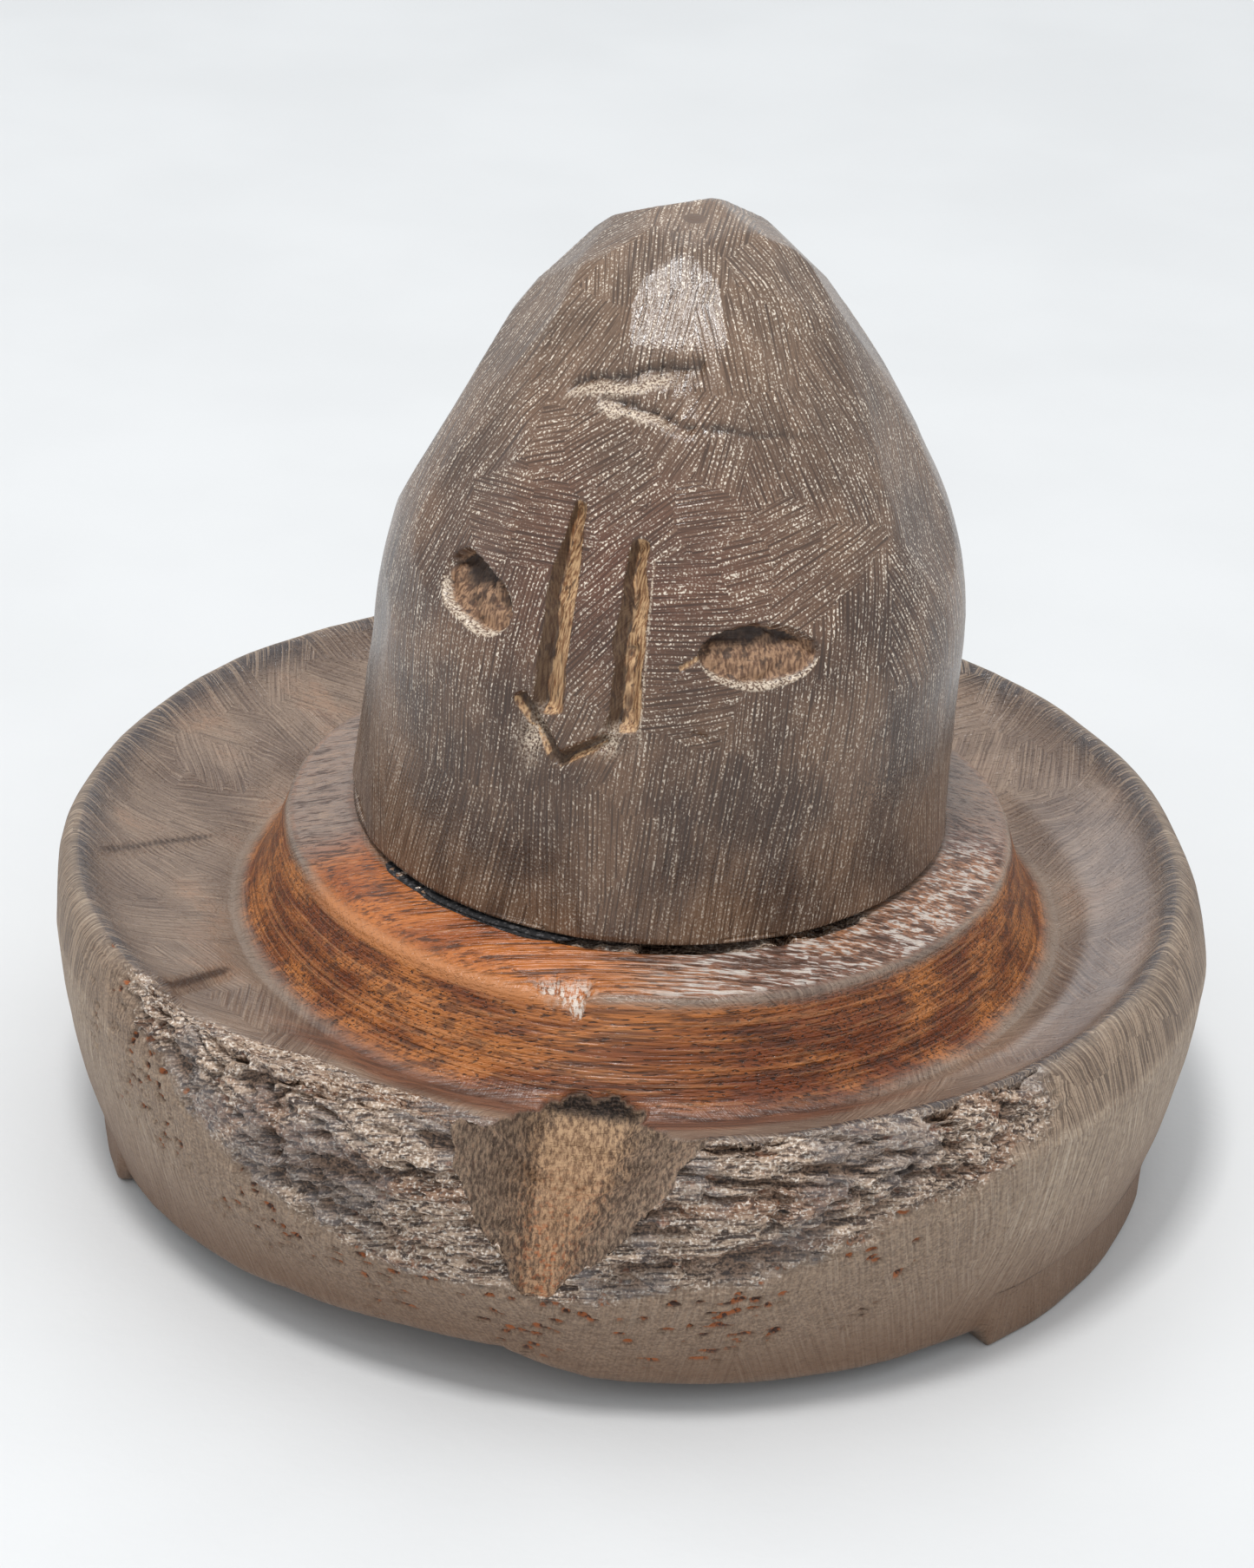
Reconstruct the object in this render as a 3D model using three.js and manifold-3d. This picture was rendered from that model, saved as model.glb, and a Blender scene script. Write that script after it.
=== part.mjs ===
// A carved wooden lingam on a round yoni base, in millimetres, +Z up.
// The origin is on the surface that it stands on, under the middle of the base.
// Angles round the upright axis are in degrees from the front (-Y), positive towards +X.
import * as THREE from "three";
import { mergeVertices } from "three/addons/utils/BufferGeometryUtils.js";
import { ConvexGeometry } from "three/addons/geometries/ConvexGeometry.js";
import Module from "manifold-3d";

const wasm = await Module();
wasm.setup();

// Driving dimensions of the base
const RIM_RADIUS = 76; // crest of the rim
const RIM_HEIGHT = 43.4;
const WALL_RADIUS = 79; // widest part of the outer wall
const WALL_WIDEST_HEIGHT = 34;
const FOOT_RADIUS = 73;
const FOOT_INNER_RADIUS = 50;
const RELIEF_HEIGHT = 3; // how far the underside is cut back above the feet
const RELIEF_EDGE_HEIGHT = 6; // the wall's lower edge between the feet
const RELIEF_EDGE_RADIUS = 70.5;
const COLLAR_RADIUS = 49.9;
const COLLAR_EDGE_HEIGHT = 47.3;
const COLLAR_TOP_HEIGHT = 50.1;
const TROUGH_RADIUS = 57.5;
const TROUGH_HEIGHT = 34;
const FOOT_ANGLES = [60, 167, -86];
const FOOT_SPAN = 36;

// The outer wall, from the underside up to the crest of the rim, as [radius, height] points
const WALL_PROFILE = [
  [RELIEF_EDGE_RADIUS, RELIEF_HEIGHT],
  [73.4, RELIEF_EDGE_HEIGHT],
  [76.6, 17],
  [WALL_RADIUS, WALL_WIDEST_HEIGHT],
  [78.1, 41],
  [RIM_RADIUS, RIM_HEIGHT],
];

// The brim from the crest down into the trough, and the hollow side of the collar up to its edge
const BRIM_PROFILE = [
  [RIM_RADIUS, RIM_HEIGHT],
  [71, 40],
  [65, 37.5],
  [61, 35.4],
  [TROUGH_RADIUS, TROUGH_HEIGHT],
  [54.7, 36.2],
  [51.5, 41.6],
  [COLLAR_RADIUS, COLLAR_EDGE_HEIGHT],
];

// Driving dimensions of the head
const HEAD_BOTTOM_HEIGHT = 50.5;
const HEAD_BOTTOM_RADIUS = 41.2;
const HEAD_TOP_HEIGHT = 136.5;
const HEAD_EDGE_CHAMFER = 0.6;
const FACE_ANGLE = -14; // the head is turned about ten degrees past the notch

// The head's side, from its bottom edge up to the crown, as [radius, height] points
const HEAD_PROFILE = [
  [HEAD_BOTTOM_RADIUS, HEAD_BOTTOM_HEIGHT + HEAD_EDGE_CHAMFER],
  [40.4, 61],
  [39.7, 72],
  [39, 84],
  [36.2, 95],
  [30.7, 106.4],
  [23.8, 117.8],
  [18.6, 125.4],
  [13.2, 131.5],
  [5.5, 135.6],
];

// The eyes: oval pits, with their angles from the middle line of the face
const EYES = [
  { angle: -29.5, height: 93.4, radius: 36.8, halfWidth: 5.6, halfHeight: 5.2, depth: 2.2 },
  { angle: 31.5, height: 90.8, radius: 37.6, halfWidth: 7.6, halfHeight: 4.3, depth: 2.2 },
];

// The two sides of the nose and the two of the mouth: straight cuts between two points of the face,
// each given as [angle from its middle line, height, radius]
const CUTS = [
  { from: [-9.5, 106.5, 30.8], to: [-9, 80.5, 39.4], halfWidth: 1.7, halfRise: 0, depth: 1.4 },
  { from: [5.6, 103.5, 32.4], to: [6.6, 80.3, 39.4], halfWidth: 1.8, halfRise: 0, depth: 1.6 },
  { from: [-14.5, 81.7, 39.3], to: [-5.2, 75, 39.6], halfWidth: 0.9, halfRise: 0.9, depth: 1.2 },
  { from: [-5.2, 75, 39.6], to: [3.6, 79.4, 39.4], halfWidth: 0.9, halfRise: 0.9, depth: 1.2 },
];
const CUT_FLOOR_SHARE = 0.4; // how wide a cut's floor is, as a share of its mouth
const CUT_REACH = 3; // how far a cut's shape stands out of the wood

// Driving dimensions of the peg, its socket and its mortise
const PEG_RADIUS = 11;
const PEG_CLEARANCE = 0.45; // the facets of the hole take a little of it up
const PEG_BOTTOM_HEIGHT = 30;
const PEG_TOP_HEIGHT = 67;
const PEG_END_GAP = 0.5;
const PEG_CHAMFER = 1.2;

// Driving dimensions of the drain notch, from the trough out through the rim
const NOTCH_ANGLE = -5;
const NOTCH_INNER = { radius: 54, floorHeight: 33, floorHalfWidth: 4, topHalfWidth: 7.5 };
const NOTCH_OUTER = { radius: 82, floorHeight: 16, floorHalfWidth: 2, topHalfWidth: 15 };
const NOTCH_TOP_HEIGHT = 52;

// Driving dimensions of the packing strip in the seam under the head
const STRIP_THICKNESS = 0.6;
const STRIP_GAP = 0.3;
const STRIP_INNER_RADIUS = 35;
const STRIP_OUTER_RADIUS = 41.6;
const STRIP_ANGLE = -36;
const STRIP_SPAN = 52;
const SEAT_MARGIN_ANGLE = 2;

// How finely round and smooth shapes are divided
const ROUND_SEGMENTS = 64;
const PEG_SEGMENTS = 32;
const ARC_STEPS = 8;
const WALL_STEPS = 10;
const BRIM_STEPS = 15;
const HEAD_STEPS = 18;
const EYE_SEGMENTS = 16;
const EYE_RINGS = 10;
const WELD_DISTANCE = 1e-4;

const radians = THREE.MathUtils.degToRad;

// A closed geometry as a manifold-3d solid.
function solidOf(geometry) {
  const bare = geometry.clone();
  bare.deleteAttribute("normal");
  bare.deleteAttribute("uv");
  const merged = mergeVertices(bare, WELD_DISTANCE);
  return new wasm.Manifold(
    new wasm.Mesh({
      numProp: 3,
      vertProperties: merged.attributes.position.array,
      triVerts: new Uint32Array(merged.index.array),
    }),
  );
}

// A manifold-3d solid as a geometry.
function geometryOf(solid) {
  const { vertProperties, triVerts } = solid.getMesh();
  const geometry = new THREE.BufferGeometry();
  geometry.setAttribute("position", new THREE.BufferAttribute(vertProperties, 3));
  geometry.setIndex(new THREE.BufferAttribute(triVerts, 1));
  geometry.computeVertexNormals();
  return geometry;
}

// A solid turned round +Z from a profile of [radius, height] points, bottom to top along the outside.
function turned(profile, segments) {
  const points = profile.map(([radius, height]) => new THREE.Vector2(radius, height));
  const geometry = new THREE.LatheGeometry(points, segments);
  geometry.rotateX(Math.PI / 2);
  return solidOf(geometry);
}

// The points of a smooth curve through the given [radius, height] points.
function smooth(points, steps) {
  const curve = new THREE.SplineCurve(points.map(([x, y]) => new THREE.Vector2(x, y)));
  return curve.getPoints(steps).map(({ x, y }) => [x, y]);
}

// The direction from the axis at an angle from the front.
function outward(angle) {
  return new THREE.Vector3(Math.sin(radians(angle)), -Math.cos(radians(angle)), 0);
}

// A flat arc of a ring, from one height to another.
function ringSector(innerRadius, outerRadius, low, high, angle, span) {
  const middle = radians(angle - 90);
  const half = radians(span / 2);
  const outline = new THREE.Shape();
  outline.absarc(0, 0, outerRadius, middle - half, middle + half, false);
  outline.absarc(0, 0, innerRadius, middle + half, middle - half, true);
  const geometry = new THREE.ExtrudeGeometry(outline, {
    depth: high - low,
    curveSegments: ARC_STEPS,
    bevelEnabled: false,
  });
  geometry.translate(0, 0, low);
  return solidOf(geometry);
}

// The drain notch: a funnel with a sloping floor, wider and deeper at the rim.
function notchTool() {
  const forward = outward(NOTCH_ANGLE);
  const sideways = new THREE.Vector3(-forward.y, forward.x, 0);
  const corners = [];
  for (const end of [NOTCH_INNER, NOTCH_OUTER]) {
    for (const side of [-1, 1]) {
      const floor = forward.clone().multiplyScalar(end.radius);
      floor.addScaledVector(sideways, side * end.floorHalfWidth).setZ(end.floorHeight);
      const top = forward.clone().multiplyScalar(end.radius);
      top.addScaledVector(sideways, side * end.topHalfWidth).setZ(NOTCH_TOP_HEIGHT);
      corners.push(floor, top);
    }
  }
  return solidOf(new ConvexGeometry(corners));
}

function makeBase() {
  const socketRadius = PEG_RADIUS + PEG_CLEARANCE;
  const block = turned(
    [
      [0, RELIEF_HEIGHT],
      ...smooth(WALL_PROFILE, WALL_STEPS),
      ...smooth(BRIM_PROFILE, BRIM_STEPS).slice(1),
      [HEAD_BOTTOM_RADIUS, COLLAR_TOP_HEIGHT],
      [socketRadius, COLLAR_TOP_HEIGHT],
      [socketRadius, PEG_BOTTOM_HEIGHT - PEG_END_GAP],
      [0, PEG_BOTTOM_HEIGHT - PEG_END_GAP],
    ],
    ROUND_SEGMENTS,
  );
  const seat = ringSector(
    STRIP_INNER_RADIUS - STRIP_GAP,
    STRIP_OUTER_RADIUS + STRIP_GAP,
    HEAD_BOTTOM_HEIGHT - 2 * STRIP_GAP - STRIP_THICKNESS,
    COLLAR_TOP_HEIGHT + 1,
    STRIP_ANGLE,
    STRIP_SPAN + SEAT_MARGIN_ANGLE,
  );
  let base = block.subtract(seat).subtract(notchTool());
  for (const angle of FOOT_ANGLES) {
    base = base.add(
      ringSector(FOOT_INNER_RADIUS, FOOT_RADIUS, 0, RELIEF_EDGE_HEIGHT, angle, FOOT_SPAN),
    );
  }
  return base;
}

// A point on the head's face: an angle from the face's middle, a height and a radius.
function onHead(angle, height, radius) {
  return outward(FACE_ANGLE + angle).multiplyScalar(radius).setZ(height);
}

// An oval pit for an eye.
function eyePit({ angle, height, radius, halfWidth, halfHeight, depth }) {
  const pit = new THREE.SphereGeometry(1, EYE_SEGMENTS, EYE_RINGS);
  pit.scale(halfWidth, depth, halfHeight);
  pit.rotateZ(radians(FACE_ANGLE + angle));
  const middle = onHead(angle, height, radius);
  pit.translate(middle.x, middle.y, middle.z);
  return solidOf(pit);
}

// A straight cut between two points of the face, narrower at its floor.
function cutTool({ from, to, halfWidth, halfRise, depth }) {
  const corners = [];
  for (const end of [onHead(...from), onHead(...to)]) {
    const out = end.clone().setZ(0).normalize();
    const side = new THREE.Vector3(-out.y, out.x, 0);
    for (const sideSign of [-1, 1]) {
      for (const riseSign of [-1, 1]) {
        const rise = new THREE.Vector3(0, 0, riseSign * halfRise);
        const mouth = end.clone().add(rise);
        mouth.addScaledVector(side, sideSign * halfWidth).addScaledVector(out, CUT_REACH);
        const floor = end.clone().add(rise);
        floor.addScaledVector(side, sideSign * halfWidth * CUT_FLOOR_SHARE);
        floor.addScaledVector(out, -depth);
        corners.push(mouth, floor);
      }
    }
  }
  return solidOf(new ConvexGeometry(corners));
}

function makeHead() {
  const mortiseRadius = PEG_RADIUS + PEG_CLEARANCE;
  const block = turned(
    [
      [0, PEG_TOP_HEIGHT + PEG_END_GAP],
      [mortiseRadius, PEG_TOP_HEIGHT + PEG_END_GAP],
      [mortiseRadius, HEAD_BOTTOM_HEIGHT],
      [HEAD_BOTTOM_RADIUS - HEAD_EDGE_CHAMFER, HEAD_BOTTOM_HEIGHT],
      ...smooth(HEAD_PROFILE, HEAD_STEPS),
      [0, HEAD_TOP_HEIGHT],
    ],
    ROUND_SEGMENTS,
  );
  const tools = [...EYES.map(eyePit), ...CUTS.map(cutTool)];
  return tools.reduce((head, tool) => head.subtract(tool), block);
}

function makePeg() {
  return turned(
    [
      [0, PEG_BOTTOM_HEIGHT],
      [PEG_RADIUS - PEG_CHAMFER, PEG_BOTTOM_HEIGHT],
      [PEG_RADIUS, PEG_BOTTOM_HEIGHT + PEG_CHAMFER],
      [PEG_RADIUS, PEG_TOP_HEIGHT - PEG_CHAMFER],
      [PEG_RADIUS - PEG_CHAMFER, PEG_TOP_HEIGHT],
      [0, PEG_TOP_HEIGHT],
    ],
    PEG_SEGMENTS,
  );
}

function makePackingStrip() {
  const low = HEAD_BOTTOM_HEIGHT - STRIP_GAP - STRIP_THICKNESS;
  return ringSector(
    STRIP_INNER_RADIUS,
    STRIP_OUTER_RADIUS,
    low,
    low + STRIP_THICKNESS,
    STRIP_ANGLE,
    STRIP_SPAN,
  );
}

const baseWood = new THREE.MeshStandardMaterial({ color: 0x5f4535, roughness: 0.6, metalness: 0 });
const headWood = new THREE.MeshStandardMaterial({ color: 0x544439, roughness: 0.5, metalness: 0 });
const pegWood = new THREE.MeshStandardMaterial({ color: 0x8a5a36, roughness: 0.7, metalness: 0 });
const tarredStrip = new THREE.MeshStandardMaterial({ color: 0x17161a, roughness: 0.8, metalness: 0 });

const carving = new THREE.Group();
for (const [name, solid, material] of [
  ["base", makeBase(), baseWood],
  ["head", makeHead(), headWood],
  ["peg", makePeg(), pegWood],
  ["packing_strip", makePackingStrip(), tarredStrip],
]) {
  const mesh = new THREE.Mesh(geometryOf(solid), material);
  mesh.name = name;
  carving.add(mesh);
}

export default carving;
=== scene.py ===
"""The looks of a carved wooden lingam on a round yoni base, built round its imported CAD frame.

Shapes are worked out in millimetres, in the frame's axes, and turned into metres as each mesh is made.
Angles round the upright axis are in degrees from the front (-Y), positive towards +X.
"""

import itertools
import math

import bpy
import numpy as np
from mathutils import Matrix, Vector


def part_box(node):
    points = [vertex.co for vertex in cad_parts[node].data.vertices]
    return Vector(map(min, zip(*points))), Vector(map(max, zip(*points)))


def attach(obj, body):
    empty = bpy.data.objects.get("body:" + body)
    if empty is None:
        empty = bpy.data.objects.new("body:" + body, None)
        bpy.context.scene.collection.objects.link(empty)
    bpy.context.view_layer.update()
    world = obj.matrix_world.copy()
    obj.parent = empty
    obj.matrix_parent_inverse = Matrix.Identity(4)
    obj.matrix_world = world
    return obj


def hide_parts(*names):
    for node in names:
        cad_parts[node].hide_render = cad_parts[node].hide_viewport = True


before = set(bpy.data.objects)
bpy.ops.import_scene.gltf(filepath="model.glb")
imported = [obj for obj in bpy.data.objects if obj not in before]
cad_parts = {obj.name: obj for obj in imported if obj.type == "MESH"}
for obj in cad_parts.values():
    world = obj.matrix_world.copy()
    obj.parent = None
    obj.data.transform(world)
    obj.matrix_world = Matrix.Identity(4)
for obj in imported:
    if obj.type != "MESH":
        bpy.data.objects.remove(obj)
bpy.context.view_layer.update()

MM = 0.001
BASE_LOW, BASE_HIGH = (np.array(corner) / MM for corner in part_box("base"))
HEAD_LOW, HEAD_HIGH = (np.array(corner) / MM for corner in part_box("head"))
PEG_LOW, PEG_HIGH = (np.array(corner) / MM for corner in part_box("peg"))
STRIP_LOW, STRIP_HIGH = (np.array(corner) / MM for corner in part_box("packing_strip"))

WALL_RADIUS = BASE_HIGH[0]
RIM_RADIUS = WALL_RADIUS - 3.0
SEAT_HEIGHT = BASE_HIGH[2]
HEAD_BOTTOM = HEAD_LOW[2]
HEAD_TOP = HEAD_HIGH[2]
HEAD_RADIUS = HEAD_HIGH[0]
PEG_RADIUS = PEG_HIGH[0]
HOLE_RADIUS = PEG_RADIUS + 0.45
HOLE_END_GAP = 0.5
NEAR_AXIS = 0.6
UNDERSIDE_HEIGHT = 3.0


# -------- camera

CAMERA_DISTANCE = 8.2137 * RIM_RADIUS * MM
CAMERA_ELEVATION = 0.56414
CAMERA_PAN = 0.0055281
CAMERA_TILT = 0.0738186
CAMERA_ROLL = -0.0568855
CAMERA_LENS = 99.61


def make_camera():
    back = Vector((0.0, -math.cos(CAMERA_ELEVATION), math.sin(CAMERA_ELEVATION)))
    forward = -back
    right = Vector((1.0, 0.0, 0.0))
    up = right.cross(forward)
    pan = Matrix.Rotation(CAMERA_PAN, 3, up)
    forward, right = pan @ forward, pan @ right
    tilt = Matrix.Rotation(CAMERA_TILT, 3, right)
    forward, up = tilt @ forward, tilt @ up
    roll = Matrix.Rotation(CAMERA_ROLL, 3, forward)
    right, up = roll @ right, roll @ up
    data = bpy.data.cameras.new("camera")
    data.lens = CAMERA_LENS
    data.clip_start = 0.01
    data.clip_end = 50.0
    camera = bpy.data.objects.new("camera", data)
    turn = Matrix((right, up, -forward)).transposed()
    camera.matrix_world = Matrix.Translation(back * CAMERA_DISTANCE) @ turn.to_4x4()
    bpy.context.scene.collection.objects.link(camera)
    bpy.context.scene.camera = camera


# -------- numbers and noise


def smoothstep(low, high, value):
    """Rises from 0 at low to 1 at high, or falls when high is the smaller of the two."""
    t = np.clip((value - low) / (high - low), 0.0, 1.0)
    return t * t * (3.0 - 2.0 * t)


def window(value, start, end, soft):
    """1 between start and end, falling to 0 over soft on either side."""
    return smoothstep(start - soft, start + soft, value) * smoothstep(end + soft, end - soft, value)


def ridge_at(value, middle, width):
    """A smooth ridge of height 1 where value is middle."""
    return np.exp(-(((value - middle) / width) ** 2))


def azimuth(points):
    """Degrees round the upright axis from the front, positive towards +X."""
    return np.degrees(np.arctan2(points[..., 0], -points[..., 1]))


def bump_at(x, y, width, height):
    """A round hill of height 1 at the middle of x and y."""
    return np.exp(-((x / width) ** 2) - (y / height) ** 2)


def hashed(cells, seed):
    """A repeatable number from 0 to 1 for each cell of whole numbers."""
    whole = cells.astype(np.int64).astype(np.uint32)
    mixed = (
        whole[..., 0] * np.uint32(73856093)
        ^ whole[..., 1] * np.uint32(19349663)
        ^ whole[..., 2] * np.uint32(83492791)
        ^ np.uint32((seed * 2654435761 + 974711) % 2**32)
    )
    mixed = (mixed ^ (mixed >> np.uint32(13))) * np.uint32(1540483477)
    mixed = (mixed ^ (mixed >> np.uint32(15))) * np.uint32(2246822519)
    return ((mixed ^ (mixed >> np.uint32(13))) / 2.0**32).astype(float)


CORNERS = list(itertools.product((0, 1), repeat=3))
NEIGHBOURS = list(itertools.product((-1, 0, 1), repeat=3))


def value_noise(points, seed):
    """Smooth noise from -1 to 1 with features one unit apart."""
    cell = np.floor(points)
    part = points - cell
    fade = part**3 * (part * (part * 6.0 - 15.0) + 10.0)
    total = np.zeros(points.shape[:-1])
    for corner in CORNERS:
        weight = np.prod(np.where(np.array(corner) == 1, fade, 1.0 - fade), axis=-1)
        total += weight * hashed(cell + np.array(corner), seed)
    return total * 2.0 - 1.0


def fractal(points, seed, octaves=4, gain=0.5):
    total = np.zeros(points.shape[:-1])
    strength = 1.0
    whole = 0.0
    for octave in range(octaves):
        total += strength * value_noise(points * 2.0**octave + 17.3 * octave, seed + octave)
        whole += strength
        strength *= gain
    return total / whole


def cell_distance(points, seed):
    """The distance to the nearest of a set of scattered points, one to each unit cell."""
    cell = np.floor(points)
    nearest = np.full(points.shape[:-1], 9.0)
    for offset in NEIGHBOURS:
        corner = cell + np.array(offset)
        spot = corner + np.stack([hashed(corner, seed + k) for k in range(3)], axis=-1)
        nearest = np.minimum(nearest, np.linalg.norm(points - spot, axis=-1))
    return nearest


def between(points, value):
    """The height at value of a smooth line through a few (position, height) points."""
    positions, heights = (np.array(column, float) for column in zip(*points))
    slopes = np.gradient(heights, positions)
    index = np.clip(np.searchsorted(positions, value) - 1, 0, len(positions) - 2)
    step = positions[index + 1] - positions[index]
    t = np.clip((value - positions[index]) / step, 0.0, 1.0)
    start, end = heights[index], heights[index + 1]
    return (
        start * (2 * t**3 - 3 * t**2 + 1)
        + slopes[index] * step * (t**3 - 2 * t**2 + t)
        + end * (3 * t**2 - 2 * t**3)
        + slopes[index + 1] * step * (t**3 - t**2)
    )


# -------- turned grids


def spread(stops):
    """Positions along a line from (start, end, count) stretches, each stretch evenly spaced."""
    stretches = [np.linspace(start, end, count, endpoint=False) for start, end, count in stops]
    return np.concatenate(stretches)


def profile_rows(stretches):
    """The [radius, height] rows of a profile made of (count, points, curved) stretches."""
    rows = []
    for count, points, curved in stretches:
        points = np.array(points, float)
        length = np.concatenate([[0.0], np.cumsum(np.linalg.norm(np.diff(points, axis=0), axis=1))])
        at = np.linspace(0.0, length[-1], count, endpoint=False)
        if curved:
            columns = [between(list(zip(length, points[:, k])), at) for k in range(2)]
        else:
            columns = [np.interp(at, length, points[:, k]) for k in range(2)]
        rows.append(np.stack(columns, axis=-1))
    return np.concatenate(rows)


def turned_points(rows, angles):
    turn = np.radians(angles)
    radius = rows[:, 0][:, None]
    height = np.repeat(rows[:, 1][:, None], len(angles), axis=1)
    return np.stack([radius * np.sin(turn), -radius * np.cos(turn), height], axis=-1)


def grid_normals(points):
    """Outward normals of a grid whose rows run up the outside and whose columns go round towards +X."""
    down = np.gradient(points, axis=0)
    wrapped = np.concatenate([points[:, -1:], points, points[:, :1]], axis=1)
    across = (wrapped[:, 2:] - wrapped[:, :-2]) * 0.5
    normal = np.cross(across, down)
    return normal / np.maximum(np.linalg.norm(normal, axis=-1, keepdims=True), 1e-9)


def ring_spots(rings, seed):
    """Places scattered round the axis: (radius, height, count) for each ring."""
    spots = []
    for index, (radius, height, count) in enumerate(rings):
        for k in range(count):
            draw = hashed(np.array([k, index, 3]), seed) * 0.7
            turn = math.radians(360.0 * (k + draw) / count + 37.0 * index)
            spots.append((radius * math.sin(turn), -radius * math.cos(turn), height + 4.0 * draw))
    return np.array(spots)


def stroke_patches(points, normals, spots, turns, ragged):
    """Divides a surface into patches of tool strokes, one round each spot.

    Returns the patch of each point, and the directions across and along the strokes of each patch,
    which are turned from the steepest way up the surface.
    """
    place = points + ragged * np.stack([value_noise(points / 5.0, seed) for seed in (11, 12, 13)], axis=-1)
    nearest = np.full(points.shape[:-1], 1e9)
    patch = np.zeros(points.shape[:-1], int)
    ways = []
    for index, (spot, turn) in enumerate(zip(spots, turns)):
        gap = ((points - spot) ** 2).sum(axis=-1)
        normal = normals[np.unravel_index(np.argmin(gap), gap.shape)]
        upward = np.array([0.0, 0.0, 1.0]) if normal[2] < 0.98 else np.array([0.0, 1.0, 0.0])
        side = np.cross(upward, normal)
        side /= np.linalg.norm(side)
        steep = np.cross(normal, side)
        c, s = math.cos(math.radians(turn)), math.sin(math.radians(turn))
        ways.append((side * c - steep * s, side * s + steep * c))
        gap = ((place - spot) ** 2).sum(axis=-1)
        patch = np.where(gap < nearest, index, patch)
        nearest = np.minimum(gap, nearest)
    return patch, np.array(ways)


def linked_piece(name, mesh):
    piece = bpy.data.objects.new(name, mesh)
    bpy.context.scene.collection.objects.link(piece)
    return piece


def store_paint(mesh, title, domain, values):
    """Stores one number for each point or corner of a mesh; those past the grid get 0."""
    layer = mesh.attributes.new(title, "FLOAT", domain)
    spare = np.zeros(len(layer.data) - values.size)
    layer.data.foreach_set("value", np.concatenate([values.reshape(-1), spare]).astype(np.float32))


def paint_strokes(mesh, points, corners, patches):
    """Stores, at each face's corners, how far they lie across and along the strokes of its patch."""
    patch, ways = patches
    face_patch = patch.reshape(-1)[corners[:, 0]]
    places = points.reshape(-1, 3)[corners]
    store_paint(mesh, "across", "CORNER", np.einsum("fkc,fc->fk", places, ways[face_patch, 0]))
    store_paint(mesh, "along", "CORNER", np.einsum("fkc,fc->fk", places, ways[face_patch, 1]))
    store_paint(mesh, "patch", "CORNER", np.repeat(face_patch[:, None], 4, axis=1))


def grid_mesh(name, points, start, end, paints, patches):
    """A closed mesh from a grid of rings, with a point on the axis at each end."""
    rows, columns = points.shape[:2]
    vertices = np.concatenate([points.reshape(-1, 3), [start, end]]) * MM
    row = np.arange(rows - 1)[:, None] * columns
    column = np.arange(columns)[None, :]
    following = (column + 1) % columns
    square = [row + column, row + following, row + columns + following, row + columns + column]
    quads = np.stack(square, axis=-1).reshape(-1, 4)
    first, last = rows * columns, rows * columns + 1
    ring = np.arange(columns)
    after = (ring + 1) % columns
    top = (rows - 1) * columns
    caps = np.concatenate(
        [
            np.stack([np.full(columns, first), after, ring], axis=-1),
            np.stack([np.full(columns, last), top + ring, top + after], axis=-1),
        ]
    )
    mesh = bpy.data.meshes.new(name)
    faces = [tuple(quad) for quad in quads.tolist()] + [tuple(cap) for cap in caps.tolist()]
    mesh.from_pydata(vertices.tolist(), [], faces)
    for title, values in paints.items():
        store_paint(mesh, title, "POINT", values)
    paint_strokes(mesh, points, quads, patches)
    mesh.polygons.foreach_set("use_smooth", [True] * len(mesh.polygons))
    mesh.update()
    return linked_piece(name, mesh)


# -------- the base

GRAIN_TILT = math.radians(4.0)
NOTCH_ANGLE = -5.0

# The lower edge of the wall between the feet: (angle, height).
LOWER_EDGE = [
    (-75, 3.6), (-60, 4.6), (-48, 6.2), (-36, 8.4), (-22, 9.6),
    (-11, 9.8), (-2, 6.6), (15, 5.6), (34, 5.2), (46, 4.4),
]

# The feet: (angle of the middle, half its spread).
FEET = [(60.0, 18.0), (167.0, 18.0), (-86.0, 18.0)]
FOOT_INNER_RADIUS = 50.0


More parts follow.
